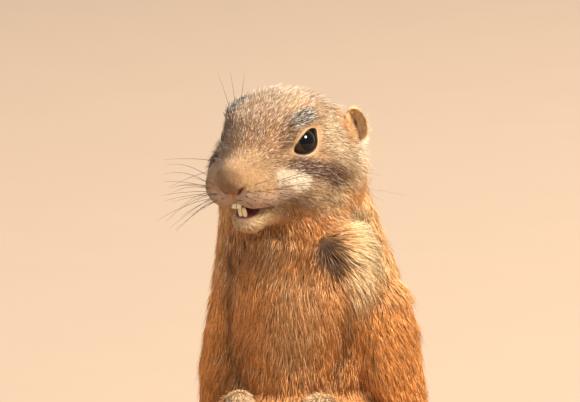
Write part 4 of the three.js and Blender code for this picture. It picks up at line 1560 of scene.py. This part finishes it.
class CoatSettings(PropertyGroup):
    voxel: FloatProperty(
        name="Skin grain",
        description="Size of the skin's faces in millimetres",
        default=0.72,
        min=0.4,
        max=2,
    )
    triangles: IntProperty(
        name="Skin triangles",
        description="Most triangles in the skin, before its finer places are made",
        default=140000,
    )
    fullness: FloatProperty(
        name="Fullness",
        description="Share of the coat's full number of tufts",
        subtype="FACTOR",
        default=1.0,
        min=0.05,
        max=1.2,
    )
    guards: FloatProperty(
        name="Guard hairs",
        description="Share of the hairs that are longer and finer",
        subtype="FACTOR",
        default=0.08,
        min=0,
        max=1,
    )
    tangle: FloatProperty(
        name="Tangle",
        description="How far the tips are drawn together into locks",
        subtype="FACTOR",
        default=0.16,
        min=0,
        max=1,
    )
    seed: IntProperty(name="Seed", description="Changes where each hair grows", default=5)


class StageSettings(PropertyGroup):
    floor: FloatVectorProperty(
        name="Floor", description="Colour of the floor", subtype="COLOR", default=(0.37, 0.265, 0.18)
    )
    key: FloatProperty(
        name="Key light", description="Power of the main light", subtype="POWER", default=520.0
    )
    fill: FloatProperty(
        name="Fill", description="Strength of the light from all round", default=0.55
    )


made = {}


class PRAIRIEDOG_OT_skin(Operator):
    """Make the skin over the whole body, with its lids"""

    bl_idname = "prairiedog.skin"
    bl_label = "Skin"

    def execute(self, context):
        settings = context.scene.prairiedog_coat
        skin = make_skin(settings)
        made["skin"] = skin
        made["unwrap"] = unwrapped(skin)
        dressed(skin, skin_look(), "coat", *FLESH)
        return {"FINISHED"}


class PRAIRIEDOG_OT_coat(Operator):
    """Grow the coat from the skin"""

    bl_idname = "prairiedog.coat"
    bl_label = "Coat"

    def execute(self, context):
        grow_coat(made["skin"], made["unwrap"], context.scene.prairiedog_coat)
        return {"FINISHED"}


class PRAIRIEDOG_OT_eyes(Operator):
    """Make both eyeballs"""

    bl_idname = "prairiedog.eyes"
    bl_label = "Eyes"

    def execute(self, context):
        material = eye_look()
        for word in SIDES:
            make_eye(word, material)
        return {"FINISHED"}


class PRAIRIEDOG_OT_whiskers(Operator):
    """Make the whiskers of the muzzle, brows and cheeks"""

    bl_idname = "prairiedog.whiskers"
    bl_label = "Whiskers"

    def execute(self, context):
        skin = made["skin"]
        tree = BVHTree.FromObject(skin, context.evaluated_depsgraph_get())
        lines, radii = whisker_lines(tree, context.scene.prairiedog_coat)
        dressed(tube_mesh("whiskers", lines, radii), whisker_look(), "claw")
        return {"FINISHED"}


class PRAIRIEDOG_OT_claws(Operator):
    """Make the claws of all four paws"""

    bl_idname = "prairiedog.claws"
    bl_label = "Claws"

    def execute(self, context):
        make_claws(horn_look())
        return {"FINISHED"}


class PRAIRIEDOG_OT_teeth(Operator):
    """Make the front teeth"""

    bl_idname = "prairiedog.teeth"
    bl_label = "Teeth"

    def execute(self, context):
        make_teeth(tooth_look())
        return {"FINISHED"}


class PRAIRIEDOG_OT_stage(Operator):
    """Set the floor, the lights and the view"""

    bl_idname = "prairiedog.stage"
    bl_label = "Stage"

    def execute(self, context):
        make_view()
        make_stage(context.scene.prairiedog_stage)
        return {"FINISHED"}


OPERATORS = (
    PRAIRIEDOG_OT_stage,
    PRAIRIEDOG_OT_skin,
    PRAIRIEDOG_OT_coat,
    PRAIRIEDOG_OT_eyes,
    PRAIRIEDOG_OT_whiskers,
    PRAIRIEDOG_OT_claws,
    PRAIRIEDOG_OT_teeth,
)


class PRAIRIEDOG_PT_panel(Panel):
    """The pieces of the prairie dog, in the order that they are made"""

    bl_label = "Prairie dog"
    bl_space_type = "VIEW_3D"
    bl_region_type = "UI"
    bl_category = "Prairie dog"

    def draw(self, context):
        for operator in OPERATORS:
            self.layout.operator(operator.bl_idname)


CLASSES = (CoatSettings, StageSettings, *OPERATORS, PRAIRIEDOG_PT_panel)


def register():
    for cls in CLASSES:
        bpy.utils.register_class(cls)
    bpy.types.Scene.prairiedog_coat = PointerProperty(type=CoatSettings)
    bpy.types.Scene.prairiedog_stage = PointerProperty(type=StageSettings)


def unregister():
    del bpy.types.Scene.prairiedog_coat
    del bpy.types.Scene.prairiedog_stage
    for cls in reversed(CLASSES):
        bpy.utils.unregister_class(cls)


def main():
    register()
    for operator in OPERATORS:
        family, name = operator.bl_idname.split(".")
        getattr(getattr(bpy.ops, family), name)()


if __name__ == "__main__":
    main()
